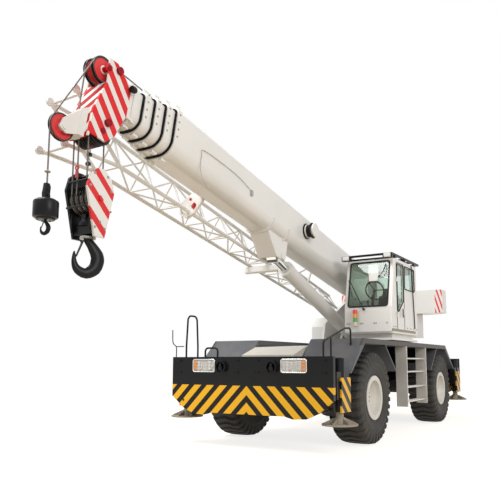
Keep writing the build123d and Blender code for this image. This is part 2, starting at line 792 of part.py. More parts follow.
# Seat and console on the cab's floor
cab_floor_top = cab_floor + cab_wall
seat_x = slew_x + 250
back_height = 0.66 * cab_rise
with BuildPart() as operator_seat:
    with BuildSketch(side_plane(cab_middle_y)):
        with BuildLine():
            Polyline(
                (seat_x - 90, cab_floor_top), (seat_x + 160, cab_floor_top),
                (seat_x + 160, cab_floor_top + 330), (seat_x + 300, cab_floor_top + 360),
                (seat_x + 290, cab_floor_top + 460),
                (seat_x - 110, cab_floor_top + 450), (seat_x - 220, cab_floor_top + back_height),
                (seat_x - 310, cab_floor_top + back_height - 20), (seat_x - 200, cab_floor_top + 330),
                (seat_x - 90, cab_floor_top + 330), close=True,
            )
        make_face()
    extrude(amount=240, both=True)
save(operator_seat, "operator_seat")
with BuildPart() as console:
    with BuildSketch(side_plane(cab_middle_y)):
        with BuildLine():
            Polyline(
                (seat_x + 560, cab_floor_top), (cab_front - 200, cab_floor_top),
                (cab_front - 110, cab_floor_top + 150), (cab_front - 110, screen_low - 60),
                (seat_x + 640, screen_low - 40), close=True,
            )
        make_face()
    extrude(amount=300, both=True)
save(console, "cab_console")

# Guard of bars over the cab's roof, with two work lamps at its front corners
guard_top = cab_roof + 95
guard_bar = 40.0
guard_rear = slew_x - 550
guard_front = slew_x + 1200
guard_pitch = (guard_front - guard_rear - guard_bar) / 4
guard_ys = (cab_inner_y - 20, cab_outer_y - 15)
# columns: x from the slewing axis, y, z of each work lamp's middle
work_lamps = ((1225, 1470, cab_roof + 30), (1225, 600, cab_roof + 30))
with BuildPart() as guard:
    with BuildSketch(Plane.XY.offset(guard_top - guard_bar)):
        for y in guard_ys:
            with Locations(((guard_rear + guard_front) / 2, y)):
                Rectangle(guard_front - guard_rear, guard_bar)
        for i in range(5):
            with Locations((guard_rear + guard_bar / 2 + i * guard_pitch, cab_middle_y)):
                Rectangle(guard_bar, guard_ys[1] - guard_ys[0])
    extrude(amount=guard_bar)
    with BuildSketch(Plane.XY.offset(cab_roof)):
        for x in (cab_rear + 80, cab_rear + 700, screen_top_x - 80):
            for y in (guard_ys[0] + 60, guard_ys[1] - 40):
                with Locations((x, y)):
                    Rectangle(guard_bar, guard_bar + 60)
    extrude(amount=guard_top - guard_bar - cab_roof)
    for x, y, z in work_lamps:
        with BuildSketch(Plane((slew_x + x, y, z), x_dir=(0, 1, 0), z_dir=(1, 0, 0))):
            RectangleRounded(190, 100, 20)
        extrude(amount=35, both=True)
save(guard, "cab_guard")

# Beacon tower in front of the cab: four lamps on a short bracket
with BuildPart() as beacon_tower:
    for i in range(4):
        with BuildSketch(Plane.XY.offset(beacon_low + i * beacon_lamp)):
            with Locations((beacon_x, beacon_y)):
                Circle(beacon_radius)
        extrude(amount=beacon_lamp - 6)
    with BuildSketch(Plane.XY.offset(beacon_low)):
        with Locations((beacon_x, beacon_y)):
            Circle(beacon_radius - 6)
    extrude(amount=4 * beacon_lamp)
    with BuildSketch(Plane.XY.offset(beacon_low)):
        with Locations(((beacon_x + cab_front + seat) / 2, beacon_y)):
            Rectangle(beacon_x - cab_front - seat, 50)
    extrude(amount=20)
save(beacon_tower, "beacon_tower")

# Luffing ram: a barrel pinned to the turntable and a rod pinned under the boom
ram_eye = boom_point(ram_eye_u, boom_low - ram_eye_drop)
ram_base = Vector(ram_x, 0, ram_base_z)
ram_axis = (ram_eye - ram_base).normalized()
ram_distance = (ram_eye - ram_base).length
barrel_length = ram_distance - rod_showing
across_ram = Plane(ram_base, x_dir=(0, 1, 0), z_dir=ram_axis)
with BuildPart() as barrel:
    with BuildSketch(side_plane(ram_eye_half)):
        with Locations((ram_x, ram_base_z)):
            Circle(ram_eye_radius)
    extrude(amount=2 * ram_eye_half)
    with BuildSketch(across_ram.offset(ram_eye_radius - 30)):
        Circle(barrel_radius)
    extrude(amount=barrel_length - ram_eye_radius + 30)
    with BuildSketch(across_ram.offset(barrel_length - 120)):
        Circle(barrel_radius + barrel_collar)
    extrude(amount=120)
    with BuildSketch(across_ram.offset(ram_eye_radius + 60)):
        Circle(ram_rod_radius + pin_play)
    extrude(amount=barrel_length, mode=Mode.SUBTRACT)
    with BuildSketch(side_plane(ram_eye_half + run + 60)):
        with Locations((ram_x, ram_base_z)):
            Circle(ram_pin_radius)
    extrude(amount=2 * (ram_eye_half + run + 60))
save(barrel, "luffing_barrel")
with BuildPart() as rod:
    with BuildSketch(across_ram.offset(ram_distance - ram_rod_length)):
        Circle(ram_rod_radius)
    extrude(amount=ram_rod_length - ram_eye_radius + 20)
    with BuildSketch(side_plane(rod_eye_half)):
        with Locations((ram_eye.X, ram_eye.Z)):
            Circle(ram_eye_radius)
    extrude(amount=2 * rod_eye_half)
save(rod, "luffing_rod")

# Boom: five sections, one inside the next, each with a collar and wear pads at its mouth
middle_v = boom_low + boom_height / 2
top_corner = 60.0
belly_ratio = 0.7
pad_thickness = section_step - boom_wall - seat
band_proud = 35.0
band_width = 25.0
band_top_v = 200.0
lug_low_v = boom_low - ram_eye_drop - 75
lug_top_v = boom_low + 28
boss_radius = 70.0
boss_height = 25.0
collar_lug = 60.0
section_names = ("boom_base", "boom_section_2", "boom_section_3", "boom_section_4", "boom_section_5")
for i, name in enumerate(section_names):
    half = boom_half - i * section_step
    height = boom_height - 2 * i * section_step
    end = base_end + i * collar_pitch
    start = end - section_length if i else -260.0
    with BuildPart() as section:
        for low, high, proud in ((start, end, 0.0), (end - collar_length, end, collar_proud)):
            with BuildSketch(boom_cut(low)) as cut:
                with Locations((0, middle_v)):
                    Rectangle(2 * (half + proud), height + 2 * proud)
                fillet(cut.vertices().group_by(Axis.Y)[-1], top_corner + proud)
                fillet(cut.vertices().group_by(Axis.Y)[0], belly_ratio * half + proud)
            extrude(amount=high - low)
        if i == 0:
            for u in (ram_eye_u + 40, ram_eye_u + 575):
                with BuildSketch(boom_cut(u)) as band:
                    with Locations((0, boom_low - band_proud)):
                        Rectangle(
                            2 * (half + band_proud), band_top_v - boom_low + band_proud,
                            align=(Align.CENTER, Align.MIN),
                        )
                    fillet(band.vertices().group_by(Axis.Y)[0], band_top_v - boom_low + band_proud - 1)
                extrude(amount=band_width)
        with BuildSketch(boom_cut(end - collar_length)):
            for side in (-1, 1):
                with Locations((side * (half - collar_lug), middle_v + height / 2 + collar_lug / 2)):
                    Rectangle(24, collar_lug + 20)
                with Locations((side * 0.35 * half, middle_v - height / 2 - collar_proud - 15)):
                    Rectangle(50, 32)
        extrude(amount=collar_length)
        with BuildSketch(boom_cut(start)) as hollow:
            with Locations((0, middle_v)):
                Rectangle(2 * (half - boom_wall), height - 2 * boom_wall)
            fillet(hollow.vertices().group_by(Axis.Y)[-1], top_corner - boom_wall)
            fillet(hollow.vertices().group_by(Axis.Y)[0], belly_ratio * half - boom_wall)
        extrude(amount=end - start, mode=Mode.SUBTRACT)
        if i < 4:
            with BuildSketch(boom_cut(end - 160)):
                for side in (-1, 1):
                    with Locations((side * (half - boom_wall - pad_thickness / 2), middle_v + height / 5)):
                        Rectangle(pad_thickness, 110)
                    with Locations((0, middle_v + side * (height / 2 - boom_wall - pad_thickness / 2))):
                        Rectangle(0.5 * half, pad_thickness)
            extrude(amount=130)
        if i == 0:
            for y in (half + 2, -half + 40 + 2):
                with BuildSketch(boom_side(y)):
                    with BuildLine():
                        Polyline(
                            (-140, -130), (140, -130), (600, 120), (600, 330), (-260, 330), (-260, 60),
                            close=True,
                        )
                    make_face()
                extrude(amount=44)
            with BuildSketch(boom_side(side_inner + side_plate)):
                Circle(pivot_pin_radius)
            extrude(amount=2 * (side_inner + side_plate))
            for y in (lug_inner + lug_plate, -lug_inner):
                with BuildSketch(boom_side(y)):
                    with BuildLine():
                        Polyline(
                            (ram_eye_u - 130, lug_top_v), (ram_eye_u - 95, lug_low_v),
                            (ram_eye_u + 210, lug_low_v), (ram_eye_u + 600, lug_top_v), close=True,
                        )
                    make_face()
                extrude(amount=lug_plate)
            with BuildSketch(boom_side(lug_inner + 1)):
                with BuildLine():
                    Polyline(
                        (ram_eye_u + 185, lug_low_v), (ram_eye_u + 210, lug_low_v),
                        (ram_eye_u + 590, boom_low + 8), (ram_eye_u + 565, boom_low + 8), close=True,
                    )
                make_face()
            extrude(amount=2 * lug_inner + 2)
            for y in (lug_inner + lug_plate + boss_height, -lug_inner - lug_plate):
                with BuildSketch(boom_side(y)):
                    with Locations((ram_eye_u, boom_low - ram_eye_drop)):
                        Circle(boss_radius)
                extrude(amount=boss_height)
            with BuildSketch(boom_side(-lug_inner)):
                with Locations((jib_arm_u, (jib_arm_top_v + lug_top_v) / 2)):
                    Rectangle(100, lug_top_v - jib_arm_top_v)
            extrude(amount=60)
            with BuildSketch(boom_side(-lug_inner)):
                with Locations((jib_arm_u, jib_arm_top_v - 55)):
                    Rectangle(100, 110)
                    Rectangle(76, 86, mode=Mode.SUBTRACT)
            extrude(amount=jib_arm_end - lug_inner)
            with BuildSketch(boom_side(half + 200)):
                with Locations((reel_u, reel_v)):
                    Circle(reel_radius)
            extrude(amount=25)
            with BuildSketch(boom_side(half + 200)):
                with Locations((reel_u, reel_v)):
                    Circle(reel_radius - 35)
            extrude(amount=202)
            with BuildSketch(boom_side(half + 50)):
                with Locations((reel_u, reel_v)):
                    Circle(reel_radius)
            extrude(amount=25)
        if i == 4:
            for y in (half, -half + head_plate):
                with BuildSketch(boom_side(y)):
                    with BuildLine():
                        Polyline(
                            (end - 60, 130), (end - 60, 570), (8750, 575), (8970, 720), (9100, 710),
                            (9075, 400), (9190, -30), (9200, -350), (8940, -350), (8820, -200), (8710, 130),
                            close=True,
                        )
                    make_face()
                extrude(amount=head_plate)
            with BuildSketch(boom_side(half)):
                with BuildLine():
                    Polyline(
                        (9200, -390), (9200, -30), (9075, 400), (9058, 395), (9184, -35), (9184, -390),
                        close=True,
                    )
                make_face()
            extrude(amount=2 * half)
            for u, v in ((top_sheave_u, top_sheave_v), (low_sheave_u, low_sheave_v)):
                with BuildSketch(boom_side(half + 15)):
                    with Locations((u, v)):
                        Circle(sheave_pin_radius)
                extrude(amount=2 * (half + 15))
            for y in (half + jib_pin_reach, -half):
                with BuildSketch(boom_side(y)):
                    with Locations(jib_pins):
                        Circle(45)
                extrude(amount=jib_pin_reach)
            with BuildSketch(boom_cut(9190)):
                with Locations((0, -210)):
                    Rectangle(4 * (nose_inner + nose_plate), 400)
            with BuildSketch(boom_cut(9268)):
                with Locations((0, -225)):
                    Rectangle(2 * (nose_inner + nose_plate), 330)
            loft()
            for y in (nose_inner + nose_plate, -nose_inner):
                with BuildSketch(boom_side(y)):
                    with BuildLine():
                        Polyline(
                            (9250, -60), (nose_sheave_u + 35, nose_sheave_v + 90),
                            (nose_sheave_u + 65, nose_sheave_v - 30),
                            (nose_sheave_u - 35, nose_sheave_v - 70), (9250, -390), close=True,
                        )
                    make_face()
                extrude(amount=nose_plate)
            with BuildSketch(boom_side(nose_inner + nose_plate + 10)):
                with Locations((nose_sheave_u, nose_sheave_v)):
                    Circle(sheave_pin_radius)
            extrude(amount=2 * (nose_inner + nose_plate + 10))
            with BuildSketch(boom_cut(end - 80)):
                with Locations((0, middle_v)):
                    Rectangle(2 * half - 10, height - 10)
            extrude(amount=50)
    save(section, name)


def sheave(x, y, z, radius, width):
    """A grooved rope wheel round an axle along Y, bored for its pin."""
    profile = Polyline(
        (0, sheave_pin_radius + seat), (width / 2, sheave_pin_radius + seat), (width / 2, 60), (8, 70),
        (8, radius - groove_depth - 14), (width / 2, radius), (width / 2 - 5, radius),
        (rope_radius + 2, radius - groove_depth), (-rope_radius - 2, radius - groove_depth),
        (-width / 2 + 5, radius), (-width / 2, radius), (-8, radius - groove_depth - 14), (-8, 70),
        (-width / 2, 60), (-width / 2, sheave_pin_radius + seat), close=True,
    )
    face = Plane((x, y, z), x_dir=(0, 1, 0), z_dir=(1, 0, 0)) * make_face(profile.edges())
    return revolve(face, axis=Axis((x, y, z), (0, 1, 0)))


# Rope wheels of the boom head
sheave_width = 44.0
fall_offset = sheave_radius - groove_depth + rope_radius + seat
low_sheave_ys = (-120.0, -40.0, 40.0, 120.0)
top_sheave_ys = (-65.0, 65.0)
# columns: x from the block's middle, y
falls = ((fall_offset, -120), (fall_offset, -40), (fall_offset, 120), (-fall_offset, 40))
head_wheels = []
for u, v, ys, radius in (
    (top_sheave_u, top_sheave_v, top_sheave_ys, sheave_radius),
    (low_sheave_u, low_sheave_v, low_sheave_ys, sheave_radius),
    (nose_sheave_u, nose_sheave_v, (0.0,), nose_sheave_radius),
):
    place = boom_point(u, v)
    for y in ys:
        head_wheels.append(sheave(place.X, y, place.Z, radius, sheave_width))
with BuildPart() as head_sheaves:
    add(head_wheels)
save(head_sheaves, "head_sheaves")

# Hook block: rope wheels on a pin between two cheeks, hung from the head by its falls
block_x = boom_point(low_sheave_u, low_sheave_v).X
fall_top_z = boom_point(low_sheave_u, low_sheave_v).Z
block_pin_z = 3300.0
cheek_inner = 160.0
cheek_plate = 30.0
block_wheels = [sheave(block_x, y, block_pin_z, sheave_radius, sheave_width) for y in low_sheave_ys]
with BuildPart() as hook_block:
    for y in (cheek_inner + cheek_plate, -cheek_inner):
        with BuildSketch(side_plane(y)):
            with BuildLine():
                Polyline(
                    (block_x - 45, block_top_z), (block_x + 45, block_top_z),
                    (block_x + 160, block_top_z - 95), (block_x + 206, block_top_z - 255),
                    (block_x + 75, block_low_z - 38),
                    (block_x - 75, block_low_z - 38), (block_x - 206, block_top_z - 255),
                    (block_x - 160, block_top_z - 95), close=True,
                )
            make_face()
        extrude(amount=cheek_plate)
    with BuildSketch(side_plane(cheek_inner + cheek_plate + 20)):
        with Locations((block_x, block_pin_z)):
            Circle(sheave_pin_radius)
    extrude(amount=2 * (cheek_inner + cheek_plate + 20))
    with BuildSketch(Plane.XY.offset(block_low_z)):
        with Locations((block_x, 0)):
            Rectangle(150, 2 * cheek_inner + 2)
    extrude(amount=110)
    with BuildSketch(side_plane(cheek_inner + 1)):
        with Locations((block_x, block_top_z - 60)):
            Circle(25)
    extrude(amount=2 * cheek_inner + 2)
    add(block_wheels)
save(hook_block, "hook_block")
with BuildPart() as main_falls:
    add([
        bar((block_x + shift, y, block_pin_z), (block_x + shift, y, fall_top_z), rope_radius)
        for shift, y in falls
    ])
save(main_falls, "main_falls")


# columns: forward, up, in shares of the hook's outer radius from the middle of its ring
hook_back = ((-0.27, 0.98), (-0.58, 0.70), (-0.87, 0.48), (0, 0), (0.27, 0.8))
hook_mouth = ((-0.1, 0.15), (0.27, 0.93), (0.27, 1.2), (1.5, 1.2), (1.5, 0.45), (0.81, 0.35), (0.34, -0.1))
hook_latch = ((0.2, 1.05), (0.55, 0.98), (0.9, 0.34), (0.75, 0.34), (0.42, 0.85), (0.2, 0.88))


def hook_shape(x, top_z, low_z, size, half):
    """A crane hook seen from the side: a ring thick at its back, with an open mouth and a latch."""
    ring_z = low_z + size
    back, mouth, latch = (
        [(x + size * forward, ring_z + size * up) for forward, up in table]
        for table in (hook_back, hook_mouth, hook_latch)
    )
    with BuildPart() as hook:
        with BuildSketch(side_plane(half)):
            with Locations((x, ring_z)):
                Circle(size)
            with BuildLine():
                Polyline((x - 0.27 * size, top_z), *back, (x + 0.27 * size, top_z), close=True)
            make_face()
            with Locations((x + 0.34 * size, ring_z)):
                Circle(0.465 * size, mode=Mode.SUBTRACT)
            with BuildLine():
                Polyline(mouth, close=True)
            make_face(mode=Mode.SUBTRACT)
        extrude(amount=2 * half)
        with BuildSketch(side_plane(half / 4)):
            with BuildLine():
                Polyline(latch, close=True)
            make_face()
        extrude(amount=half / 2)
    return hook.part


big_hook = hook_shape(block_x, block_low_z, hook_low_z, main_hook_radius, 45)
with BuildPart() as main_hook:
    add(big_hook)
save(main_hook, "main_hook")

# Auxiliary hook: a weight and a small hook on one fall from the nose sheave
nose_groove = nose_sheave_radius - groove_depth + rope_radius + seat
ball_fall_x = boom_point(nose_sheave_u, nose_sheave_v).X + nose_groove
nose_z = boom_point(nose_sheave_u, nose_sheave_v).Z
small_hook = hook_shape(ball_fall_x, ball_low_z + 1, ball_hook_low_z, small_hook_radius, 18)
with BuildPart() as aux_hook:
    with BuildSketch(Plane((ball_fall_x, 0, 0), x_dir=(1, 0, 0), z_dir=(0, -1, 0))):
        with BuildLine():
            Polyline(
                (0, ball_low_z), (ball_radius - 30, ball_low_z), (ball_radius, ball_low_z + 30),
                (ball_radius, ball_top_z - 30), (ball_radius - 30, ball_top_z), (45, ball_top_z), (35, 3350),
                (0, 3350), close=True,
            )
        make_face()
    revolve(axis=Axis((ball_fall_x, 0, 0), (0, 0, 1)))
    add(small_hook)
    with BuildSketch(Plane.XY.offset(ball_top_z)):
        with Locations((ball_fall_x, 0)):
            Rectangle(96, 70)
    extrude(amount=120)
save(aux_hook, "aux_hook")
with BuildPart() as aux_fall:
    add(bar((ball_fall_x, 0, 3350), (ball_fall_x, 0, nose_z), rope_radius))
save(aux_fall, "aux_fall")

# Hoist ropes from the foot to the head, above the boom's back
with BuildPart() as hoist_ropes:
    rope_v = top_sheave_v + sheave_radius - groove_depth + rope_radius + seat
    add([
        bar(boom_point(150, rope_v, y), boom_point(top_sheave_u, rope_v, y), rope_radius)
        for y in top_sheave_ys
    ])
    for u in (200, 4000, 7700):
        with BuildSketch(boom_cut(u)):
            with Locations((0, (rope_v + rope_radius + boom_low + boom_height + seat) / 2)):
                Rectangle(240, rope_v + rope_radius - boom_low - boom_height - seat)
        extrude(amount=40)
save(hoist_ropes, "hoist_ropes")

# Lattice jib stowed along the right side of the boom: three chords joined by lacing
jib_bays = 11
jib_rear_u = 900.0
jib_chord_u = 8100.0
chord_radius = 30.0
lace_radius = 14.0
fork_radius = 26.0
eye_half = 16.0
# columns: rear (u, v, y), front (u, v, y)
jib_chords = (
    ((jib_rear_u, -200, -450), (jib_chord_u, -128, -450)),
    ((jib_rear_u, -200, -900), (jib_chord_u, -128, -900)),
    ((jib_rear_u, 120, -675), (jib_chord_u, 354, -675)),
)
# columns: chord whose end the tube leaves, lug (u, v, y)
jib_forks = (
    (2, (9100, 350, -800)), (2, (9100, 420, -340)), (1, (9100, -340, -800)), (0, (9100, -340, -340)),
    (1, (9100, 350, -800)), (0, (9100, 420, -340)),
)


def chord_point(chord, share):
    rear, front = jib_chords[chord]
    u, v, y = (a + (b - a) * share for a, b in zip(rear, front))
    return boom_point(u, v, y)


jib_bars = [bar(chord_point(c, 0), chord_point(c, 1), chord_radius) for c in range(3)]
for bay in range(jib_bays + 1):
    share = bay / jib_bays
    for a, b in ((0, 1), (1, 2), (2, 0)):
        jib_bars.append(bar(chord_point(a, share), chord_point(b, share), lace_radius))
        if bay < jib_bays:
            ends = (share, share + 1 / jib_bays) if bay % 2 else (share + 1 / jib_bays, share)
            jib_bars.append(bar(chord_point(a, ends[0]), chord_point(b, ends[1]), lace_radius))
for chord, (u, v, y) in jib_forks:
    jib_bars.append(bar(chord_point(chord, 1), boom_point(u, v, y), fork_radius))
for u, v, y in {lug for chord, lug in jib_forks}:
    jib_bars.append(bar(boom_point(u, v, y - eye_half), boom_point(u, v, y + eye_half), 2 * fork_radius))
for v in (-340, 385):
    jib_bars.append(bar(boom_point(9040, v - 12, -810), boom_point(9040, v, -350), lace_radius + 4))
mount_share = (2500 - jib_rear_u) / (jib_chord_u - jib_rear_u)
mount = boom_point(2500, 330, -boom_half - seat - 30)
for chord in (0, 2):
    jib_bars.append(bar(chord_point(chord, mount_share), mount, 22))
with BuildPart() as jib:
    add(jib_bars)
    with BuildSketch(boom_side(-boom_half - seat)):
        with Locations((2500, 330)):
            Rectangle(220, 200)
    extrude(amount=20)
    with BuildSketch(boom_cut(jib_bracket_u)):
        with BuildLine():
            Polyline(
                (-230, 140), (-430, 150), (-620, 20), (-620, -180), (-470, -260), (-330, -190), (-190, 20),
                close=True,
            )
        make_face()
        with Locations((-350, -66)):
            Circle(48, mode=Mode.SUBTRACT)
    extrude(amount=bracket_plate)
    with BuildSketch(boom_cut(jib_bracket_u)) as boom_outline:
        with Locations((0, middle_v)):
            Rectangle(2 * (boom_half + seat), boom_height + 2 * seat)
        fillet(boom_outline.vertices().group_by(Axis.Y)[0], belly_ratio * boom_half + seat)
    extrude(amount=bracket_plate, mode=Mode.SUBTRACT)
save(jib, "stowed_jib")

# Handrails on the bumper's top and the left fender, bent from round bar
rail_foot = box_top + seat
rail_radius = 16.0
# columns: corners (x, y, z) from the slewing axis, bend
rails = (
    ((
        (3600, -1310, rail_foot), (3600, -1310, 1700), (3640, -1310, 2235),
        (3890, -1310, 2235), (3925, -1310, 1700), (3925, -1310, rail_foot),
    ), 90),
    (((3905, -910, rail_foot), (3905, -910, 1657), (3905, -650, 1657), (3905, -650, rail_foot)), 60),
    ((
        (3925, 1350, rail_foot), (3925, 1350, 1735), (3100, 1350, 1975),
        (2860, 1350, 1990), (2860, 1350, 1600),
    ), 60),
)


def rail(corners, bend):
    """A bent round rail through its corners."""
    points = [(slew_x + x, y, z) for x, y, z in corners]
    path = FilletPolyline(*points, radius=bend)
    start = Plane(points[0], z_dir=Vector(*points[1]) - Vector(*points[0]))
    return sweep(start * Circle(rail_radius), path=path)


rail_bars = [rail(corners, bend) for corners, bend in rails]
rail_bars.append(bar((slew_x + 3650, 1350, rail_foot), (slew_x + 3650, 1350, 1810), rail_radius - 2))
with BuildPart() as handrails:
    add(rail_bars)
    with BuildSketch(side_plane(1350 + 2 * rail_radius)):
        with BuildLine():
            Polyline(
                (slew_x + fender_slope_front, deck_top + 2 * seat), (girder_front, fender_low + 2 * seat),
                (girder_front, fender_low - 200), (slew_x + fender_slope_front, fender_low - 200),
                close=True,
            )
        make_face()
    extrude(amount=4 * rail_radius, mode=Mode.SUBTRACT)
save(handrails, "handrails")
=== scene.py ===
import json
import math

import bmesh
import bpy
from mathutils import Matrix, Vector


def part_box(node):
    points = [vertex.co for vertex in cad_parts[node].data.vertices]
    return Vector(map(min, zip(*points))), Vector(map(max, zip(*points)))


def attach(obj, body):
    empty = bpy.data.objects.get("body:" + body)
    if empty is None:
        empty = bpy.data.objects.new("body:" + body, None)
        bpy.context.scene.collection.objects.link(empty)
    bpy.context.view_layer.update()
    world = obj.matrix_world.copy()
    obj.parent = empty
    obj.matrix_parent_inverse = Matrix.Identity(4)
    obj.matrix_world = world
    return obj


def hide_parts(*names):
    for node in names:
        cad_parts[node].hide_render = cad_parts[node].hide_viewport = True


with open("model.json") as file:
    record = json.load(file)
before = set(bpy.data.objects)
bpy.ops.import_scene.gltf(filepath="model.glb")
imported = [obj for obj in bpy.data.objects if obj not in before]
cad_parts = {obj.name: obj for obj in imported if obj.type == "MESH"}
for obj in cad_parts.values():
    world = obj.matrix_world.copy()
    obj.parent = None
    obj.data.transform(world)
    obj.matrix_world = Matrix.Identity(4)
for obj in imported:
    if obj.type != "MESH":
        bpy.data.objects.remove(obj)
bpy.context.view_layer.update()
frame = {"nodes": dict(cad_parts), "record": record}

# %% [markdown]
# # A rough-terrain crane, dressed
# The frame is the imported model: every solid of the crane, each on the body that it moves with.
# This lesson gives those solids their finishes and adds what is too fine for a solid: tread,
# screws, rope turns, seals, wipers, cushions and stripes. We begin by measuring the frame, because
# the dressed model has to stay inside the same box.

# %% [markdown]
# ## Where things are
# The crane turns on its slewing ring and the boom lifts about its foot pin. Both places stand in
# the record, so the scene reads them there. A point of the boom is given by its distance along the
# boom, its height across it and its place to the left.

# %% Places on the carrier and on the boom
joints = {j["name"]: j for j in frame["record"]["behaviour"]["joints"]}
slew_x = joints["slewing"]["pos_m"][0]
foot = Vector(joints["luffing"]["pos_m"])
boom_axis = Vector(joints["telescope_2"]["axis"])
boom_up = Vector((-boom_axis.z, 0, boom_axis.x))
boom_angle = math.atan2(boom_axis.z, boom_axis.x)


def on_boom(u, v, y=0.0):
    """A point of the boom, u along it, v across it and y to the left."""
    return foot + boom_axis * u + boom_up * v + Vector((0, y, 0))


def on_carrier(x, y, z):
    """A point given from the slewing axis."""
    return Vector((slew_x + x, y, z))


# columns: distance along the boom, height across it
top_sheave = (9.084, 0.580)
nose_sheave = (9.435, -0.390)
print("slewing axis at", round(slew_x, 3), "boom angle", round(math.degrees(boom_angle), 1))

# %% [markdown]
# ## Camera
# The photograph was taken from the front left corner, about at chest height. The camera was fitted
# to points of the machine, so its place, turn and shift are plain numbers here.

# %% Camera
view_place = (10.0257, 5.25, 1.42)
view_yaw = 3.675
view_pitch = 0.125
level = math.cos(view_pitch)
look = Vector((level * math.cos(view_yaw), level * math.sin(view_yaw), math.sin(view_pitch)))
look_right = look.cross(Vector((0, 0, 1))).normalized()
look_up = look_right.cross(look)
camera_data = bpy.data.cameras.new("camera")
camera_data.sensor_width = 36.0
camera_data.lens = 42.1186
camera_data.shift_x = -0.0445
camera_data.shift_y = 0.0769
camera = bpy.data.objects.new("camera", camera_data)
view_axes = Matrix((look_right, look_up, -look)).transposed().to_4x4()
camera.matrix_world = Matrix.Translation(view_place) @ view_axes
bpy.context.scene.collection.objects.link(camera)
bpy.context.scene.camera = camera
print("camera at", [round(v, 2) for v in camera.location])

# %% [markdown]
# ## Nodes
# The light, every finish and every repeated form is a tree of nodes. A few short functions set the
# nodes here. A number inside a tree gets a class of its own, which turns plain sums and comparisons
# into nodes, so a pattern can be written as a formula.

# %% Setting nodes


def feed(node, values):
    """Gives a node's inputs plain values, or links the outputs of other nodes to them."""
    for name, value in values.items():
        value = value.socket if isinstance(value, Number) else value
        if isinstance(value, bpy.types.NodeSocket):
            node.id_data.links.new(value, node.inputs[name])
        else:
            node.inputs[name].default_value = value


def add_node(tree, kind, values=None, out=0, **settings):
    """Sets one node and returns one of its outputs; values go to its inputs by name or number."""
    node = tree.nodes.new(kind)
    for name, value in settings.items():
        setattr(node, name, value)
    feed(node, values or {})
    return node.outputs[out]


class Number:
    """A number inside a node tree. Sums and comparisons with it become Math nodes; true is 1."""

    def __init__(self, socket):
        self.socket = socket

    def calc(self, operation, *others, clamp=False):
        """One Math node, with this number as its first input."""
        values = dict(enumerate((self.socket, *others)))
        made = add_node(self.socket.id_data, "ShaderNodeMath", values, operation=operation, use_clamp=clamp)
        return Number(made)

    def __add__(self, other):
        return self.calc("ADD", other)

    def __sub__(self, other):
        return self.calc("SUBTRACT", other)

    def __mul__(self, other):
        return self.calc("MULTIPLY", other)

    def __truediv__(self, other):
        return self.calc("DIVIDE", other)

    def __pow__(self, other):
        return self.calc("POWER", other)

    def __abs__(self):
        return self.calc("ABSOLUTE")

    def __gt__(self, other):
        return self.calc("GREATER_THAN", other)

    def __lt__(self, other):
        return self.calc("LESS_THAN", other)

    def rest(self):
        """What is left up to 1."""
        values = {0: 1.0, 1: self.socket}
        tree = self.socket.id_data
        return Number(add_node(tree, "ShaderNodeMath", values, operation="SUBTRACT", use_clamp=True))

    def ramp(self, low, high):
        """0 below low, 1 above high, smooth between."""
        values = {"Value": self.socket, "From Min": low, "From Max": high}
        tree = self.socket.id_data
        return Number(add_node(tree, "ShaderNodeMapRange", values, interpolation_type="SMOOTHSTEP"))


def new_tree(name, inputs, output, kind="Shader"):
    """A tree to be used again; inputs are (label, type, start value), the output is (label, type)."""
    tree = bpy.data.node_groups.new(name, kind + "NodeTree")
    for label, type_name, *start in inputs:
        socket = tree.interface.new_socket(label, in_out="INPUT", socket_type="NodeSocket" + type_name)
        if start:
            socket.default_value = start[0]
    tree.interface.new_socket(output[0], in_out="OUTPUT", socket_type="NodeSocket" + output[1])
    return tree, tree.nodes.new("NodeGroupInput").outputs, tree.nodes.new("NodeGroupOutput")


def use_tree(tree, group, **values):
    """Places a shader tree inside another one."""
    return Number(add_node(tree, "ShaderNodeGroup", values, node_tree=group))


def noise(tree, place, scale, detail=3.0):
    """Cloudy values between 0 and 1."""
    values = {"Vector": place, "Scale": scale, "Detail": detail, "Roughness": 0.55}
    return Number(add_node(tree, "ShaderNodeTexNoise", values, out="Fac"))


def axis_numbers(tree, place):
    """The x, y and z of a place or a direction."""
    split = tree.nodes.new("ShaderNodeSeparateXYZ")
    feed(split, {0: place})
    return [Number(socket) for socket in split.outputs]


print("node helpers ready")

# %% [markdown]
# ## Light and floor
# The picture is a plain studio cut-out: soft light from above, white all round. Two wide lamps and
# a pale world light the crane. The floor is sand-coloured to the light that it throws back, which
# warms the belly of the boom as in the yard. It adds a little light of its own for rays that reach
# the eye, a mirror or a pane, so that it looks white and still keeps a soft shadow.

# %% Light, floor and world
scene = bpy.context.scene
scene.view_settings.view_transform = "Standard"


def area_lamp(name, place, target, size, power):
    """A square lamp that faces a target."""
    data = bpy.data.lights.new(name, "AREA")
    data.size = size
    data.energy = power
    lamp = bpy.data.objects.new(name, data)
    lamp.location = place
    lamp.rotation_euler = (Vector(target) - Vector(place)).to_track_quat("-Z", "Y").to_euler()
    scene.collection.objects.link(lamp)


def seen_directly(tree):
    """A value of 1 for rays of the eye, of mirrors and of panes, and 0 for rays that carry light."""
    path = tree.nodes.new("ShaderNodeLightPath").outputs
    total = Number(path["Is Camera Ray"])
    for name in ("Is Glossy Ray", "Is Transmission Ray"):
        total = total.calc("ADD", path[name], clamp=True)
    return total


area_lamp("key_lamp", (9.0, -5.0, 15.0), (0, 0, 1.5), 9.0, 2300)
area_lamp("side_lamp", (7.0, 15.0, 8.0), (0, 0, 1.5), 8.0, 1100)

world = bpy.data.worlds.new("studio")
scene.world = world
world.use_nodes = True
world_seen = seen_directly(world.node_tree)
strength = add_node(world.node_tree, "ShaderNodeMapRange", {"To Min": 0.62, "To Max": 1.0, "Value": world_seen})
feed(world.node_tree.nodes["Background"], {"Color": (1, 1, 1, 1), "Strength": strength})

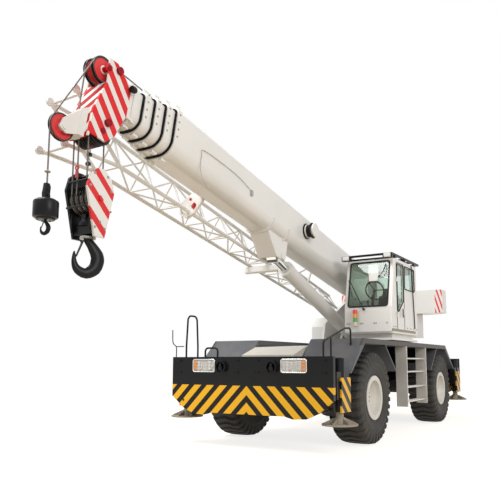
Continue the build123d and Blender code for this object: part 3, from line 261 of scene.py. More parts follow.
floor_mesh = bpy.data.meshes.new("floor")
floor_mesh.from_pydata([(-60, -60, 0), (60, -60, 0), (60, 60, 0), (-60, 60, 0)], [], [(0, 1, 2, 3)])
floor = bpy.data.objects.new("floor", floor_mesh)
scene.collection.objects.link(floor)
floor_material = bpy.data.materials.new("floor")
floor_material.use_nodes = True
feed(floor_material.node_tree.nodes["Principled BSDF"], {
    "Base Color": (0.50, 0.42, 0.32, 1), "Roughness": 0.9, "Specular IOR Level": 0.0,
    "Emission Color": (1, 1, 1, 1), "Emission Strength": seen_directly(floor_material.node_tree) * 0.80,
})
floor_mesh.materials.append(floor_material)
print("two lamps, world and floor made")

# %% [markdown]
# ## Shared surface effects
# Paint on a working machine is never one flat colour. Three effects repeat on nearly every finish,
# so each is a node group made once: worn edges, dust that lies thicker near the ground and on what
# faces up, and the fine waviness of sprayed paint. A fourth one draws stripes.

# %% Worn edges
edge_wear, wear_in, wear_out = new_tree(
    "edge_wear", [("Vector", "Vector"), ("Width", "Float", 0.006), ("Amount", "Float", 0.5)], ("Mask", "Float"),
)
rounded_way = add_node(edge_wear, "ShaderNodeBevel", {"Radius": wear_in["Width"]}, samples=4)
flat_way = add_node(edge_wear, "ShaderNodeNewGeometry", out="Normal")
same_way = Number(add_node(
    edge_wear, "ShaderNodeVectorMath", {0: rounded_way, 1: flat_way}, out="Value", operation="DOT_PRODUCT",
))
chips = noise(edge_wear, wear_in["Vector"], 14.0).ramp(0.45, 0.62)
worn = same_way.rest().ramp(0.02, 0.16) * chips
feed(wear_out, {"Mask": worn.calc("MULTIPLY", wear_in["Amount"], clamp=True)})
print("edge wear group:", len(edge_wear.nodes), "nodes")

# %% Dust and streaks
dust, dust_in, dust_out = new_tree(
    "dust", [("Vector", "Vector"), ("Amount", "Float", 0.4), ("Height", "Float", 1.6)], ("Mask", "Float"),
)
height_share = axis_numbers(dust, dust_in["Vector"])[2].calc("DIVIDE", dust_in["Height"], clamp=True)
low_part = height_share.rest() * 0.8 + 0.2
clouds = noise(dust, dust_in["Vector"], 2.2, 6.0).ramp(0.38, 0.72)
drawn_out = add_node(dust, "ShaderNodeMapping", {"Vector": dust_in["Vector"], "Scale": (9.0, 9.0, 0.7)})
streaks = noise(dust, drawn_out, 1.0, 4.0).ramp(0.5, 0.8)
face_up = axis_numbers(dust, add_node(dust, "ShaderNodeNewGeometry", out="Normal"))[2]
lies = {"Value": face_up, "From Min": -0.3, "From Max": 0.9, "To Min": 0.25}
dirt = clouds.calc("MAXIMUM", streaks * 0.7) * low_part * add_node(dust, "ShaderNodeMapRange", lies)
feed(dust_out, {"Mask": dirt.calc("MULTIPLY", dust_in["Amount"], clamp=True)})
print("dust group:", len(dust.nodes), "nodes")

# %% Sprayed paint
grain, grain_in, grain_out = new_tree(
    "grain", [("Vector", "Vector"), ("Scale", "Float", 60.0), ("Depth", "Float", 0.3)], ("Height", "Float"),
)
fine = noise(grain, grain_in["Vector"], grain_in["Scale"], 2.0)
wave = noise(grain, grain_in["Vector"], 1.6, 1.0)
feed(grain_out, {"Height": (fine + wave * 4.0) * grain_in["Depth"]})
print("grain group:", len(grain.nodes), "nodes")

# %% Slanted stripes
stripes, stripes_in, stripes_out = new_tree(
    "slanted_stripes",
    [("Distance", "Float", 0.0), ("Pitch", "Float", 0.2), ("Share", "Float", 0.5), ("Shift", "Float", 0.0)],
    ("Mask", "Float"),
)
stripe_turns = Number(stripes_in["Distance"]) / stripes_in["Pitch"] + stripes_in["Shift"]
feed(stripes_out, {"Mask": stripe_turns.calc("FRACT") < stripes_in["Share"]})
print("stripe group:", len(stripes.nodes), "nodes")

# %% [markdown]
# ## Finishes
# Every paint starts from the same recipe: a base colour that varies a little, worn edges where the
# undercoat or steel shows, dust from the ground up, and a fine bump. Each finish keeps its own
# numbers. Where a surface has stripes, a mask mixes a second colour in before the wear.

# %% The paint recipe


def mix_colours(mask, first, second):
    """The second colour over the first where the mask is 1; each is a plain colour or an output."""
    first, second = ((*c, 1) if isinstance(c, tuple) else c for c in (first, second))
    values = {"Factor": mask, 6: first, 7: second}
    return add_node(mask.socket.id_data, "ShaderNodeMix", values, out=2, data_type="RGBA")


def finish_material(
    name, colour, rough=0.4, metal=0.0, coat=0.0, wear=0.4, wear_colour=(0.5, 0.49, 0.46), wear_width=0.006,
    dust_amount=0.3, dust_height=1.6, dust_colour=(0.42, 0.36, 0.28), vary=0.12, grain_scale=60.0,
    grain_depth=0.25, specular=0.5, pattern=None,
):
    """A finish with varied colour, worn edges, dust and grain; pattern(x, y, z, base) may recolour it."""
    made = bpy.data.materials.new(name)
    made.use_nodes = True
    tree = made.node_tree
    place = add_node(tree, "ShaderNodeTexCoord", out="Object")
    darker = tuple(c * (1 - vary) for c in colour)
    base = mix_colours(noise(tree, place, 0.9, 5.0).ramp(0.3, 0.7), colour, darker)
    if pattern:
        base = pattern(*axis_numbers(tree, place), base)
    if wear:
        worn_mask = use_tree(tree, edge_wear, Vector=place, Width=wear_width, Amount=wear)
        base = mix_colours(worn_mask, base, wear_colour)
    dust_mask = use_tree(tree, dust, Vector=place, Amount=dust_amount, Height=dust_height)
    height = use_tree(tree, grain, Vector=place, Scale=grain_scale, Depth=grain_depth)
    bump = add_node(tree, "ShaderNodeBump", {"Strength": 0.25, "Distance": 0.002, "Height": height})
    feed(tree.nodes["Principled BSDF"], {
        "Base Color": mix_colours(dust_mask, base, dust_colour), "Metallic": metal, "Normal": bump,
        "Roughness": (dust_mask * 0.5).calc("ADD", rough, clamp=True), "Specular IOR Level": specular,
        "Coat Weight": coat, "Coat Roughness": 0.12,
    })
    return made


white = (0.80, 0.785, 0.75)
black = (0.009, 0.0095, 0.011)
yellow = (0.86, 0.46, 0.02)
red = (0.72, 0.035, 0.04)
dark_red = (0.30, 0.012, 0.022)
bare_dark = (0.16, 0.15, 0.14)
bare_brown = (0.2, 0.18, 0.16)
bare_red = (0.2, 0.12, 0.1)
print("recipe ready")

# %% Plain finishes
white_paint = finish_material(
    "white_paint", white, 0.36, coat=0.25, wear=0.25, dust_amount=0.09, dust_height=2.6, vary=0.07,
)
cab_white = finish_material(
    "cab_white", white, 0.3, coat=0.4, wear=0.15, dust_amount=0.12, dust_height=2.6, vary=0.05,
)
rim_white = finish_material("rim_white", (0.78, 0.76, 0.70), 0.45, wear=0.5, dust_amount=0.45, dust_height=2.2)
black_paint = finish_material(
    "black_paint", black, 0.3, wear=0.3, wear_colour=bare_dark, dust_amount=0.03, specular=0.16,
)
axle_black = finish_material(
    "axle_black", (0.016, 0.015, 0.014), 0.6, wear=0.3, dust_amount=0.35, dust_height=1.2, specular=0.25,
)
ladder_film = finish_material(
    "ladder_film", (0.80, 0.77, 0.72), 0.35, coat=0.3, wear=0.6, wear_colour=(0.75, 0.73, 0.70),
    wear_width=0.01, dust_amount=0.2, vary=0.35, grain_scale=34, grain_depth=1.0,
)
hood_paint = finish_material("hood_paint", (0.60, 0.57, 0.50), 0.5, wear=0.2, dust_amount=0.3, dust_height=3.0)
grey_steel = finish_material("grey_steel", (0.42, 0.41, 0.39), 0.45, metal=0.7, wear=0.3, dust_amount=0.3)
wire_rope = finish_material("wire_rope", (0.16, 0.14, 0.12), 0.5, metal=0.6, wear=0, dust_amount=0.1)
chrome_rod = finish_material(
    "chrome_rod", (0.72, 0.72, 0.70), 0.12, metal=1.0, wear=0, dust_amount=0.08, vary=0.03, grain_depth=0.05,
)
red_paint = finish_material("red_paint", red, 0.4, wear=0.4, wear_colour=bare_red, dust_amount=0.1)
tan_steel = finish_material(
    "tan_steel", (0.33, 0.29, 0.23), 0.65, wear=0.6, wear_colour=(0.3, 0.16, 0.08), dust_amount=0.6,
)
print("plain finishes made")

# %% [markdown]
# Glass stays a plain clear shader with a green tint, because panes are thin and only their faces
# catch the light. Lamps get a ribbed lens and the beacon gets one band of colour for each light.

# %% Glass, lenses and rubber
clear_glass = bpy.data.materials.new("clear_glass")
clear_glass.use_nodes = True
feed(clear_glass.node_tree.nodes["Principled BSDF"], {
    "Base Color": (0.72, 0.83, 0.76, 1), "Roughness": 0.02, "Transmission Weight": 1.0, "IOR": 1.45,
})
lamp_lens = finish_material(
    "lamp_lens", (0.75, 0.76, 0.74), 0.15, coat=0.8, wear=0, dust_amount=0.1, grain_scale=120, grain_depth=0.8,
)
rubber_tyre = finish_material(
    "rubber_tyre", (0.028, 0.027, 0.026), 0.75, wear=0.5, wear_colour=(0.09, 0.08, 0.07), wear_width=0.012,
    dust_amount=0.55, dust_height=2.4, dust_colour=(0.22, 0.18, 0.14), grain_scale=90, grain_depth=0.6,
)


def beacon_bands(x, y, z, base):
    """Cream, green, orange and red from the foot up."""
    low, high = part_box("beacon_tower")
    step = (high.z - low.z) / 4
    for i, colour in enumerate(((0.05, 0.35, 0.08), (0.85, 0.30, 0.02), (0.75, 0.03, 0.02))):
        base = mix_colours(z > low.z + step * (i + 1), base, colour)
    return base


beacon_plastic = finish_material(
    "beacon_plastic", (0.75, 0.68, 0.45), 0.25, coat=0.6, wear=0, dust_amount=0.1, pattern=beacon_bands,
)
print("glass, lens, rubber and beacon finishes made")

# %% [markdown]
# ## Warning stripes
# The bumper carries yellow chevrons that meet in the middle. The boom head, the hook block and the
# ends of the counterweight carry red and white slanted bars. A picture laid over the parts would
# stretch at their corners, so each pattern is worked out from the place on the machine, and the bars
# run straight over every face.

# %% Patterns of the bumper and the boom


def bars(distance, pitch, share, shift):
    """1 on stripes across a distance, each a share of the pitch wide."""
    return use_tree(distance.socket.id_data, stripes, Distance=distance, Pitch=pitch, Share=share, Shift=shift)


def between(value, low, high):
    """1 where the value lies between two bounds."""
    return (value > low) * (value < high)


def boom_numbers(x, z):
    """u along the boom and v across it."""
    from_x, from_z = x - foot.x, z - foot.z
    return from_x * boom_axis.x + from_z * boom_axis.z, from_z * boom_axis.x - from_x * boom_axis.z


def chevrons(x, y, z, base):
    """Yellow bars at 45 degrees under the bumper's lamps, rising towards the middle."""
    bumpers_middle, bumper_reach = slew_x - 0.025, 3.955
    band_top, pitch, yellow_share, point_below = 1.035, 0.265, 0.547, 0.12
    on_bumper = abs(x - bumpers_middle) > bumper_reach
    slanted = bars(abs(y) + z, pitch, yellow_share, 1 - (band_top + point_below) / pitch + 8)
    return mix_colours(slanted * (on_bumper * (z < band_top)), base, yellow)


def head_stripes(x, y, z, base):
    """Red bars that meet at the front edge of the head's plates, and dark red jib pins."""
    plate_in, plate_out, plates_from, pins_from = 0.150, 0.1835, 8.70, 8.86
    web_from, web_to, web_start, web_red = 9.03, 9.205, 8.948, (0.42, 0.006, 0.005)
    u, v = boom_numbers(x, z)
    aside = abs(y)
    on_plate = between(aside, plate_in, plate_out) * (u > plates_from)
    on_web = (aside < plate_in) * between(u, web_from, web_to)
    for distance, part, tone in ((v - u, on_plate, red), (v - y - web_start, on_web, web_red)):
        base = mix_colours(bars(distance, 0.24, 0.55, 35.75) * part, base, tone)
    return mix_colours((aside > plate_out) * (u > pins_from), base, dark_red)


def sheave_rings(x, y, z, base):
    """Red wheels with a greasy black rim and a pale hub; the low ones are black all over."""
    grease, low_black = (0.02, 0.018, 0.016), (0.016, 0.014, 0.013)
    groove_from, groove_to, nose_from, low_top = 0.142, 0.2, 9.20, 0.1
    u, v = boom_numbers(x, z)
    for (middle_u, middle_v), hub in ((top_sheave, 0.055), (nose_sheave, 0.050)):
        away = ((u - middle_u) ** 2.0 + (v - middle_v) ** 2.0).calc("SQRT")
        base = mix_colours(between(away, groove_from, groove_to), base, grease)
        base = mix_colours(away < hub, base, white)
    return mix_colours((u < nose_from) * (v < low_top), base, low_black)


print("bumper, head and sheave patterns ready")

# %% Patterns of the block, the outriggers, the tail and the deck


def block_stripes(x, y, z, base):
    """Red and white bars on the left cheek of the hook block."""
    cheek_y = 0.1615
    return mix_colours(y > cheek_y, base, mix_colours(bars(z - x, 0.288, 0.40, 7.507), white, red))


def panel_stripes(x, y, z, base):
    """Yellow bars on the boards of the outriggers' outer ends."""
    board_y, board_top = 1.5475, 1.1805
    on_board = (abs(y) > board_y) * (z < board_top)
    return mix_colours(bars(z - x, 0.25, 0.5, 20.4) * on_board, base, yellow)


def tail_stripes(x, y, z, base):
    """Slanted red bars at the outer ends of the counterweight."""
    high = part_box("counterweight")[1]
    top_skin, side_skin, band = 0.004, 0.003, 0.19
    at_end = between(abs(y), high.y - band, high.y - side_skin)
    slanted = bars(abs(y) * 3.4 + z, 0.34, 0.42, 30.0)
    return mix_colours(slanted * ((z < high.z - top_skin) * at_end), base, red)


def deck_edges(x, y, z, base):
    """Darker, brown-black outer edges of the deck above a height; the sloping plates keep their blue grey."""
    edge_y, edge_low, dark_edge_colour = 1.5, 1.70, (0.042, 0.035, 0.029)
    # The outer edges of the deck above 1.70 m are painted darker, in brown-black.
    return mix_colours((abs(y) > edge_y) * (z > edge_low), base, dark_edge_colour)


print("block, outrigger, tail and deck patterns ready")

# %% Finishes with patterns
deck_grey = finish_material(
    "deck_grey", (0.095, 0.098, 0.108), 0.4, wear=0.3, wear_colour=bare_brown, dust_amount=0.22,
    dust_height=3.0, specular=0.3, pattern=deck_edges,
)
bumper_paint = finish_material(
    "bumper_paint", black, 0.22, wear=0.3, wear_colour=bare_dark, dust_amount=0.03, specular=0.18,
    pattern=chevrons,
)
panel_paint = finish_material(
    "panel_paint", black, 0.3, wear=0.4, wear_colour=bare_brown, dust_amount=0.05, specular=0.18,
    pattern=panel_stripes,
)
tail_paint = finish_material(
    "tail_paint", white, 0.32, coat=0.35, wear=0.2, dust_amount=0.16, vary=0.06, pattern=tail_stripes,
)
head_paint = finish_material(
    "head_paint", white, 0.6, wear=0.3, dust_amount=0.03, vary=0.06, specular=0.1, pattern=head_stripes,
)
sheave_paint = finish_material(
    "sheave_paint", red, 0.4, wear=0.3, wear_colour=bare_red, dust_amount=0.08, pattern=sheave_rings,
)
block_paint = finish_material(
    "block_paint", black, 0.3, wear=0.4, wear_colour=bare_brown, dust_amount=0.04, specular=0.2,
    pattern=block_stripes,
)
print("striped finishes made")

# %% Dress the solids
corners = [f"{end}_{hand}" for end in ("front", "rear") for hand in ("left", "right")]
dress = {
    white_paint: [
        "turntable", "luffing_barrel", "boom_base", "boom_section_2", "boom_section_3", "boom_section_4",
        "stowed_jib",
    ],
    tail_paint: ["counterweight"],
    cab_white: ["cab_shell", "cab_door"],
    black_paint: [
        "chassis", "engine_block", "handrails", "cab_guard", "operator_seat", "cab_console", "main_hook",
        "aux_hook",
    ],
    bumper_paint: ["front_outrigger_box", "rear_outrigger_box"],
    deck_grey: ["deck_and_fenders", "slewing_ring"],
    axle_black: ["front_axle", "rear_axle"] + [f"{corner}_knuckle" for corner in corners],
    hood_paint: ["front_hood"],
    grey_steel: ["winches"],
    wire_rope: ["main_falls", "aux_fall", "hoist_ropes"],
    chrome_rod: ["luffing_rod"],
    head_paint: ["boom_section_5"],
    block_paint: ["hook_block"],
    sheave_paint: ["head_sheaves"],
    ladder_film: ["side_steps"],
    clear_glass: ["cab_glass", "door_glass"],
    lamp_lens: ["headlamps"],
    beacon_plastic: ["beacon_tower"],
    rim_white: [f"{corner}_rim" for corner in corners],
    rubber_tyre: [f"{corner}_tyre" for corner in corners],
    panel_paint: [f"{corner}_outrigger_beam" for corner in corners],
    tan_steel: [f"{corner}_jack" for corner in corners],
}
for finish, names in dress.items():
    for name in names:
        node = frame["nodes"][name]
        node.data.materials.clear()
        node.data.materials.append(finish)
print("dressed", sum(len(names) for names in dress.values()), "of", len(frame["nodes"]), "solids")

# %% [markdown]
# ## Ways of making meshes
# The solids end where screws, lugs and windings begin. Small forms are gathered into one mesh for
# each piece: blocks, round bars along a path, turned shapes and plates. What repeats by a rule is
# placed by Geometry Nodes, so that a number can be changed without touching a mesh.

# %% Shapes gathered in one mesh


def new_shape():
    """An empty shape to gather blocks, bars and plates in."""
    return bmesh.new()


def full_circle(count):
    """Angles all the way round."""
    return [2 * math.pi * k / count for k in range(count)]


def add_block(shape, centre, size, turn=None):
    """A block, its size along its own axes; turn is a rotation matrix."""
    turned = turn.to_4x4() if turn else Matrix()
    place = Matrix.Translation(centre) @ turned @ Matrix.Diagonal((*size, 1))
    bmesh.ops.create_cube(shape, size=1.0, matrix=place)


def axes_along(direction, side=Vector((0, 0, 1))):
    """A rotation whose z runs along a direction."""
    z = Vector(direction).normalized()
    if abs(z.dot(side)) > 0.98:
        side = Vector((1, 0, 0))
    x = side.cross(z).normalized()
    return Matrix((x, z.cross(x), z)).transposed()


def add_rings(shape, rings, closed=False):
    """Joins rings of points by quads, and closes the two ends unless the rings run round."""
    loops = [[shape.verts.new(p) for p in ring] for ring in rings]
    pairs = list(zip(loops, loops[1:] + loops[:1])) if closed else list(zip(loops, loops[1:]))
    for first, second in pairs:
        count = len(first)
        for i in range(count):
            j = (i + 1) % count
            shape.faces.new((first[i], first[j], second[j], second[i]))
    if not closed:
        shape.faces.new(list(reversed(loops[0])))
        shape.faces.new(loops[-1])


def add_tube(shape, points, radius, sides=10, closed=False, flat=1.0):
    """A round bar along points; radius is one number or one for each point."""
    points = [Vector(p) for p in points]
    radii = radius if isinstance(radius, (list, tuple)) else [radius] * len(points)
    count = len(points)
    ahead = []
    for i in range(count):
        before = points[(i - 1) % count] if closed or i else points[i]
        after = points[(i + 1) % count] if closed or i < count - 1 else points[i]
        ahead.append((after - before).normalized())
    across = axes_along(ahead[0]).col[0].copy()
    rings = []
    for point, way, r in zip(points, ahead, radii):
        across = (across - way * across.dot(way)).normalized()
        up = way.cross(across)
        rings.append([
            point + across * (r * math.cos(a)) + up * (r * flat * math.sin(a)) for a in full_circle(sides)
        ])
    add_rings(shape, rings, closed)


def add_turned(shape, base, axis, profile, steps=28):
    """Turns (radius, distance along the axis) pairs about an axis through base."""
    turned_axes = axes_along(axis)
    rings = []
    for radius, along in profile:
        r = max(radius, 0.0004)  # a ring of no size would close badly
        rings.append([
            Vector(base) + turned_axes @ Vector((r * math.cos(a), r * math.sin(a), along))
            for a in full_circle(steps)
        ])
    add_rings(shape, rings)


def add_plate(shape, outline, thickness):
    """A flat outline of points, made thick along a vector."""
    move = Vector(thickness)
    add_rings(shape, [[Vector(p) for p in outline], [Vector(p) + move for p in outline]])


def arc_points(centre, radius, start, end, count, plane):
    """Points of an arc in a plane, given by its two axes; angles are in degrees."""
    first, second = Vector(plane[0]), Vector(plane[1])
    angles = [math.radians(start + (end - start) * k / (count - 1)) for k in range(count)]
    return [Vector(centre) + first * (radius * math.cos(a)) + second * (radius * math.sin(a)) for a in angles]


def smooth_path(points, parts=4):
    """More points on a soft curve through the given ones."""
    points = [Vector(p) for p in points]
    ends = [points[0]] + points + [points[-1]]
    path = []
    for a, b, c, d in zip(ends, ends[1:], ends[2:], ends[3:]):
        for k in range(parts):
            t = k / parts
            bend, twist = 2 * a - 5 * b + 4 * c - d, 3 * b - a - 3 * c + d
            path.append(0.5 * ((2 * b) + (c - a) * t + bend * t ** 2 + twist * t ** 3))
    return path + [points[-1]]


def shape_mesh(name, shape):
    """The gathered shapes as a mesh."""
    mesh = bpy.data.meshes.new(name)
    shape.to_mesh(mesh)
    shape.free()
    return mesh


def soften(mesh, sharp):
    """Soft shading, with a crisp edge where faces meet at more than an angle in degrees."""
    mesh.polygons.foreach_set("use_smooth", [True] * len(mesh.polygons))
    mesh.set_sharp_from_angle(angle=math.radians(sharp))


def put_piece(name, mesh, body, finish=None):
    """Links a finished mesh and makes it ride on a body."""
    piece = bpy.data.objects.new(name, mesh)
    scene.collection.objects.link(piece)
    if finish:
        mesh.materials.clear()
        mesh.materials.append(finish)
    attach(piece, body)
    return piece


def bevel_edges(shape, angle, width):
    """Breaks the edges whose faces meet at more than an angle in degrees."""
    edges = [e for e in shape.edges if len(e.link_faces) == 2 and e.calc_face_angle(0.0) > math.radians(angle)]
    bmesh.ops.bevel(shape, geom=edges, offset=width, segments=1, affect="EDGES", clamp_overlap=True)


def make_piece(name, shape, finish, body, sharp=38.0, bevel=0.0):
    """Turns gathered shapes into a piece, with faces outwards and soft shading."""
    bmesh.ops.recalc_face_normals(shape, faces=shape.faces)
    if bevel:
        bevel_edges(shape, 45, bevel)
    mesh = shape_mesh(name, shape)
    soften(mesh, sharp)
    return put_piece(name, mesh, body, finish)


print("mesh helpers ready")

# %% [markdown]
# Each tree of Geometry Nodes is built here in code, run once on a mesh and kept as a plain piece. It
# has named inputs, and it ends by making its copies real and giving them their finish.

# %% Helpers for Geometry Nodes


def new_form_tree(name, inputs):
    """A Geometry Nodes tree with a mesh in, named inputs and a mesh out."""
    mesh = ("Geometry", "Geometry")
    return new_tree(name, [mesh] + inputs, mesh, "Geometry")


def join_forms(tree, *forms):
    """Several forms as one."""
    joined = tree.nodes.new("GeometryNodeJoinGeometry")
    for form in forms:
        tree.links.new(form, joined.inputs[0])
    return joined.outputs[0]


def set_copies(tree, points, form, turn):
    """Copies of a form on points, each with its own turn."""
    return add_node(tree, "GeometryNodeInstanceOnPoints", {
        "Points": points, "Instance": form, "Rotation": turn,
    })


def close_tree(tree, geometry, finish, group_out):
    """Realize Instances and Set Material, which every tree here ends in."""
    real = add_node(tree, "GeometryNodeRealizeInstances", {"Geometry": geometry})
    painted = add_node(tree, "GeometryNodeSetMaterial", {"Geometry": real, "Material": finish})
    feed(group_out, {"Geometry": painted})


def grow(name, mesh, tree, values, body=None, sharp=38.0, place=None, replaces=()):
    """Runs a tree on a mesh and keeps the result as a plain piece."""
    piece = bpy.data.objects.new(name, mesh)
    scene.collection.objects.link(piece)
    modifier = piece.modifiers.new(tree.name, "NODES")
    modifier.node_group = tree
    sockets = {item.name: item.identifier for item in tree.interface.items_tree if item.in_out == "INPUT"}
    for label, value in values.items():
        modifier[sockets[label]] = value
    bpy.context.view_layer.update()
    made = bpy.data.meshes.new_from_object(piece.evaluated_get(bpy.context.evaluated_depsgraph_get()))
    piece.modifiers.clear()
    bpy.data.objects.remove(piece)
    if place:
        made.transform(place)
    made.name = name
    soften(made, sharp)
    if body is None:
        return made
    grown = put_piece(name, made, body)
    if replaces:
        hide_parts(*replaces)
    return grown


def point_mesh(name, places):
    """Loose points; each place is (point, facing), and facing is kept as an attribute."""
    mesh = bpy.data.meshes.new(name)
    mesh.from_pydata([tuple(p) for p, _ in places], [], [])
    facing = mesh.attributes.new("facing", "FLOAT_VECTOR", "POINT")
    facing.data.foreach_set("vector", [c for _, way in places for c in Vector(way).normalized()])
    return mesh


print("tree helpers ready")

# %% [markdown]
# ## Hexagon screws
# Covers, clamps and rings of the crane are held by hexagon heads on washers. One tree puts a head
# at each point of a mesh and turns it by the point's facing, so a ring of screws is a list of points.

# %% The screw tree
screw_tree, screw_in, screw_out = new_form_tree("hexagon_screws", [("Size", "Float"), ("Finish", "Material")])
width = Number(screw_in["Size"])
hexagon = add_node(screw_tree, "GeometryNodeMeshCone", {
    "Vertices": 6, "Radius Bottom": width * 0.5, "Radius Top": width * 0.40, "Depth": width * 0.42,
})
washer = add_node(screw_tree, "GeometryNodeMeshCylinder", {
    "Vertices": 12, "Radius": width * 0.68, "Depth": width * 0.10,
})
facing = add_node(
    screw_tree, "GeometryNodeInputNamedAttribute", {"Name": "facing"}, out="Attribute",
    data_type="FLOAT_VECTOR",
)
screw_turn = add_node(screw_tree, "FunctionNodeAlignRotationToVector", {"Vector": facing}, axis="Z")
screw_head = join_forms(screw_tree, hexagon, washer)
screws_placed = set_copies(screw_tree, screw_in["Geometry"], screw_head, screw_turn)
close_tree(screw_tree, screws_placed, screw_in["Finish"], screw_out)


def add_screws(name, places, size, finish, body):
    """Screws of one size at (point, facing) places, as one piece."""
    values = {"Size": size, "Finish": finish}
    return grow(name, point_mesh(name, places), screw_tree, values, body, sharp=25.0)


def ring_of(centre, axis, radius, count, first=0.0):
    """Places on a circle about an axis, all facing along it."""
    axes = axes_along(axis)
    turns = [math.radians(first) + a for a in full_circle(count)]
    return [
        (Vector(centre) + axes @ Vector((radius * math.cos(a), radius * math.sin(a), 0)), axis) for a in turns
    ]


print("screw tree:", len(screw_tree.nodes), "nodes")

# %% [markdown]
# ## Tyres
# A rough-terrain tyre has a round casing and thick lugs that wave across the tread and run down over
# the shoulders. Modelling each lug would be slow, so one lug is built and a tree sets copies of it
# round the casing. The casing is a turned profile with two ribs on its wall. Both are made about the
# origin and then moved to each wheel, so the four tyres are one shape.

# %% Tyre casing and one lug
tyre_low, tyre_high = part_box("front_left_tyre")
tyre_radius = (tyre_high.z - tyre_low.z) / 2
tyre_half = (tyre_high.y - tyre_low.y) / 2
bead_radius = 0.3815
lug_height = 0.042
lug_count = 34


def tread_radius(y):
    """Radius of the lugs' tops at a distance from the middle of the tread."""
    share = abs(y) / tyre_half
    return tyre_radius - 0.012 * share ** 2 - 0.045 * max(0.0, share - 0.80) / 0.20


casing_top = tyre_radius - lug_height
casing_half = [
    (casing_top, 0.0), (casing_top - 0.002, 0.10), (casing_top - 0.008, 0.19), (casing_top - 0.022, 0.245),
    (casing_top - 0.055, 0.278), (casing_top - 0.11, 0.290), (0.590, 0.296), (0.560, 0.2985), (0.552, 0.2935),
    (0.510, 0.290), (0.465, 0.281), (0.436, 0.272), (0.430, 0.277), (0.419, 0.277), (0.413, 0.268),
    (bead_radius, 0.255),
]
casing_profile = [(r, -y) for r, y in reversed(casing_half)] + casing_half[1:]
inner_profile = [(bead_radius - 0.004, 0.245), (0.60, 0.20), (0.60, -0.20), (bead_radius - 0.004, -0.245)]
casing_shape = new_shape()
casing_steps = 72
casing_rings = [
    [Vector((radius * math.cos(a), y, radius * math.sin(a))) for a in full_circle(casing_steps)]
    for radius, y in casing_profile + inner_profile
]
add_rings(casing_shape, casing_rings, closed=True)
bmesh.ops.recalc_face_normals(casing_shape, faces=casing_shape.faces)
casing_mesh = shape_mesh("tyre_casing", casing_shape)

lug_shape = new_shape()
lug_rings = []
wave = 0.036
# columns: place across the tread, turn of the wave, half-width round the tyre
lug_half = [
    (0.0, -1.0, 0.045), (0.085, -0.2, 0.044), (0.17, 1.0, 0.045), (0.25, 0.6, 0.046), (0.292, 0.0, 0.042),
    (0.2995, -0.2, 0.034),
]
lug_path = [(-y, turn_share, half_width) for y, turn_share, half_width in reversed(lug_half[1:])] + lug_half
for y, turn_share, half_width in lug_path:
    top, foot_radius = tread_radius(y), tread_radius(y) - lug_height - 0.02
    if abs(y) > 0.2993:
        top, foot_radius = top - 0.045, 0.625
    elif abs(y) > 0.29:
        foot_radius = 0.640
    middle = turn_share * wave
    ring = []
    for radius, share in ((foot_radius, -1.25), (top, -0.85), (top, 0.85), (foot_radius, 1.25)):
        angle = middle + share * half_width / tyre_radius
        ring.append(Vector((radius * math.sin(angle), y, radius * math.cos(angle))))
    lug_rings.append(ring)
add_rings(lug_shape, lug_rings)
bmesh.ops.recalc_face_normals(lug_shape, faces=lug_shape.faces)
bevel_edges(lug_shape, 35, 0.006)
lug_mesh = shape_mesh("tyre_lug", lug_shape)
lug_model = bpy.data.objects.new("tyre_lug", lug_mesh)
print("casing faces", len(casing_mesh.polygons), "lug faces", len(lug_mesh.polygons))

# %% The tread tree
tread_tree, tread_in, tread_out = new_form_tree(
    "tyre_tread", [("Lug", "Object"), ("Count", "Int"), ("Finish", "Material")],
)
lug_points = add_node(tread_tree, "GeometryNodePoints", {"Count": tread_in["Count"]})
lug_index = Number(add_node(tread_tree, "GeometryNodeInputIndex"))
lug_step = add_node(tread_tree, "ShaderNodeMath", {0: 2 * math.pi, 1: tread_in["Count"]}, operation="DIVIDE")
lug_turn = add_node(tread_tree, "ShaderNodeCombineXYZ", {"Y": lug_index * lug_step})
lug_form = add_node(tread_tree, "GeometryNodeObjectInfo", {"Object": tread_in["Lug"]}, out="Geometry")
lugs_placed = set_copies(tread_tree, lug_points, lug_form, lug_turn)
tyre_form = join_forms(tread_tree, tread_in["Geometry"], lugs_placed)
close_tree(tread_tree, tyre_form, tread_in["Finish"], tread_out)
print("tread tree:", len(tread_tree.nodes), "nodes")

# %% Four tyres
for corner in corners:
    low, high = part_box(f"{corner}_tyre")
    grow(
        f"{corner}_tread_tyre", casing_mesh.copy(), tread_tree,
        {"Lug": lug_model, "Count": lug_count, "Finish": rubber_tyre}, f"{corner}_wheel",
        sharp=30.0, place=Matrix.Translation((low + high) / 2), replaces=(f"{corner}_tyre",),
    )
print("tyres made:", len(corners))

# %% [markdown]
# The rim is a deep dish. Its nuts stand in a ring round the hub, with a domed cap in the middle and
# a valve at the edge of the dish.

# %% Nuts, hub caps and valves
wheel_y = 1.24
dish_proud = 0.101
cap_profile = [(0.0, -0.01), (0.098, -0.01), (0.098, 0.012), (0.086, 0.028), (0.05, 0.038), (0.0, 0.040)]
for corner in corners:
    low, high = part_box(f"{corner}_rim")
    centre = (low + high) / 2
    side = 1 if "left" in corner else -1
    out = Vector((0, side, 0))
    dish_face = Vector((centre.x, side * (wheel_y + dish_proud), centre.z))
    add_screws(f"{corner}_wheel_nuts", ring_of(dish_face, out, 0.155, 12), 0.036, grey_steel, f"{corner}_wheel")
    cap = new_shape()
    add_turned(cap, dish_face, out, cap_profile)
    valve = [dish_face + Vector((0.19, -side * 0.02, 0)), dish_face + Vector((0.205, side * 0.045, 0))]
    add_tube(cap, valve, 0.008, 8)
    make_piece(f"{corner}_hub_cap", cap, rim_white, f"{corner}_wheel")
print("wheel fittings made")

# %% [markdown]
# ## Hooks
# A forged hook is thick at its back, where the load pulls, and thins to its point. A bar whose radius
# changes along a curved centre line gives that form better than a cut plate. The big hook hangs
# turned a little on its nut, so its plane stands at an angle across the machine.

# %% Forged hooks
block_low, block_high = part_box("hook_block")
block_x = (block_low.x + block_high.x) / 2
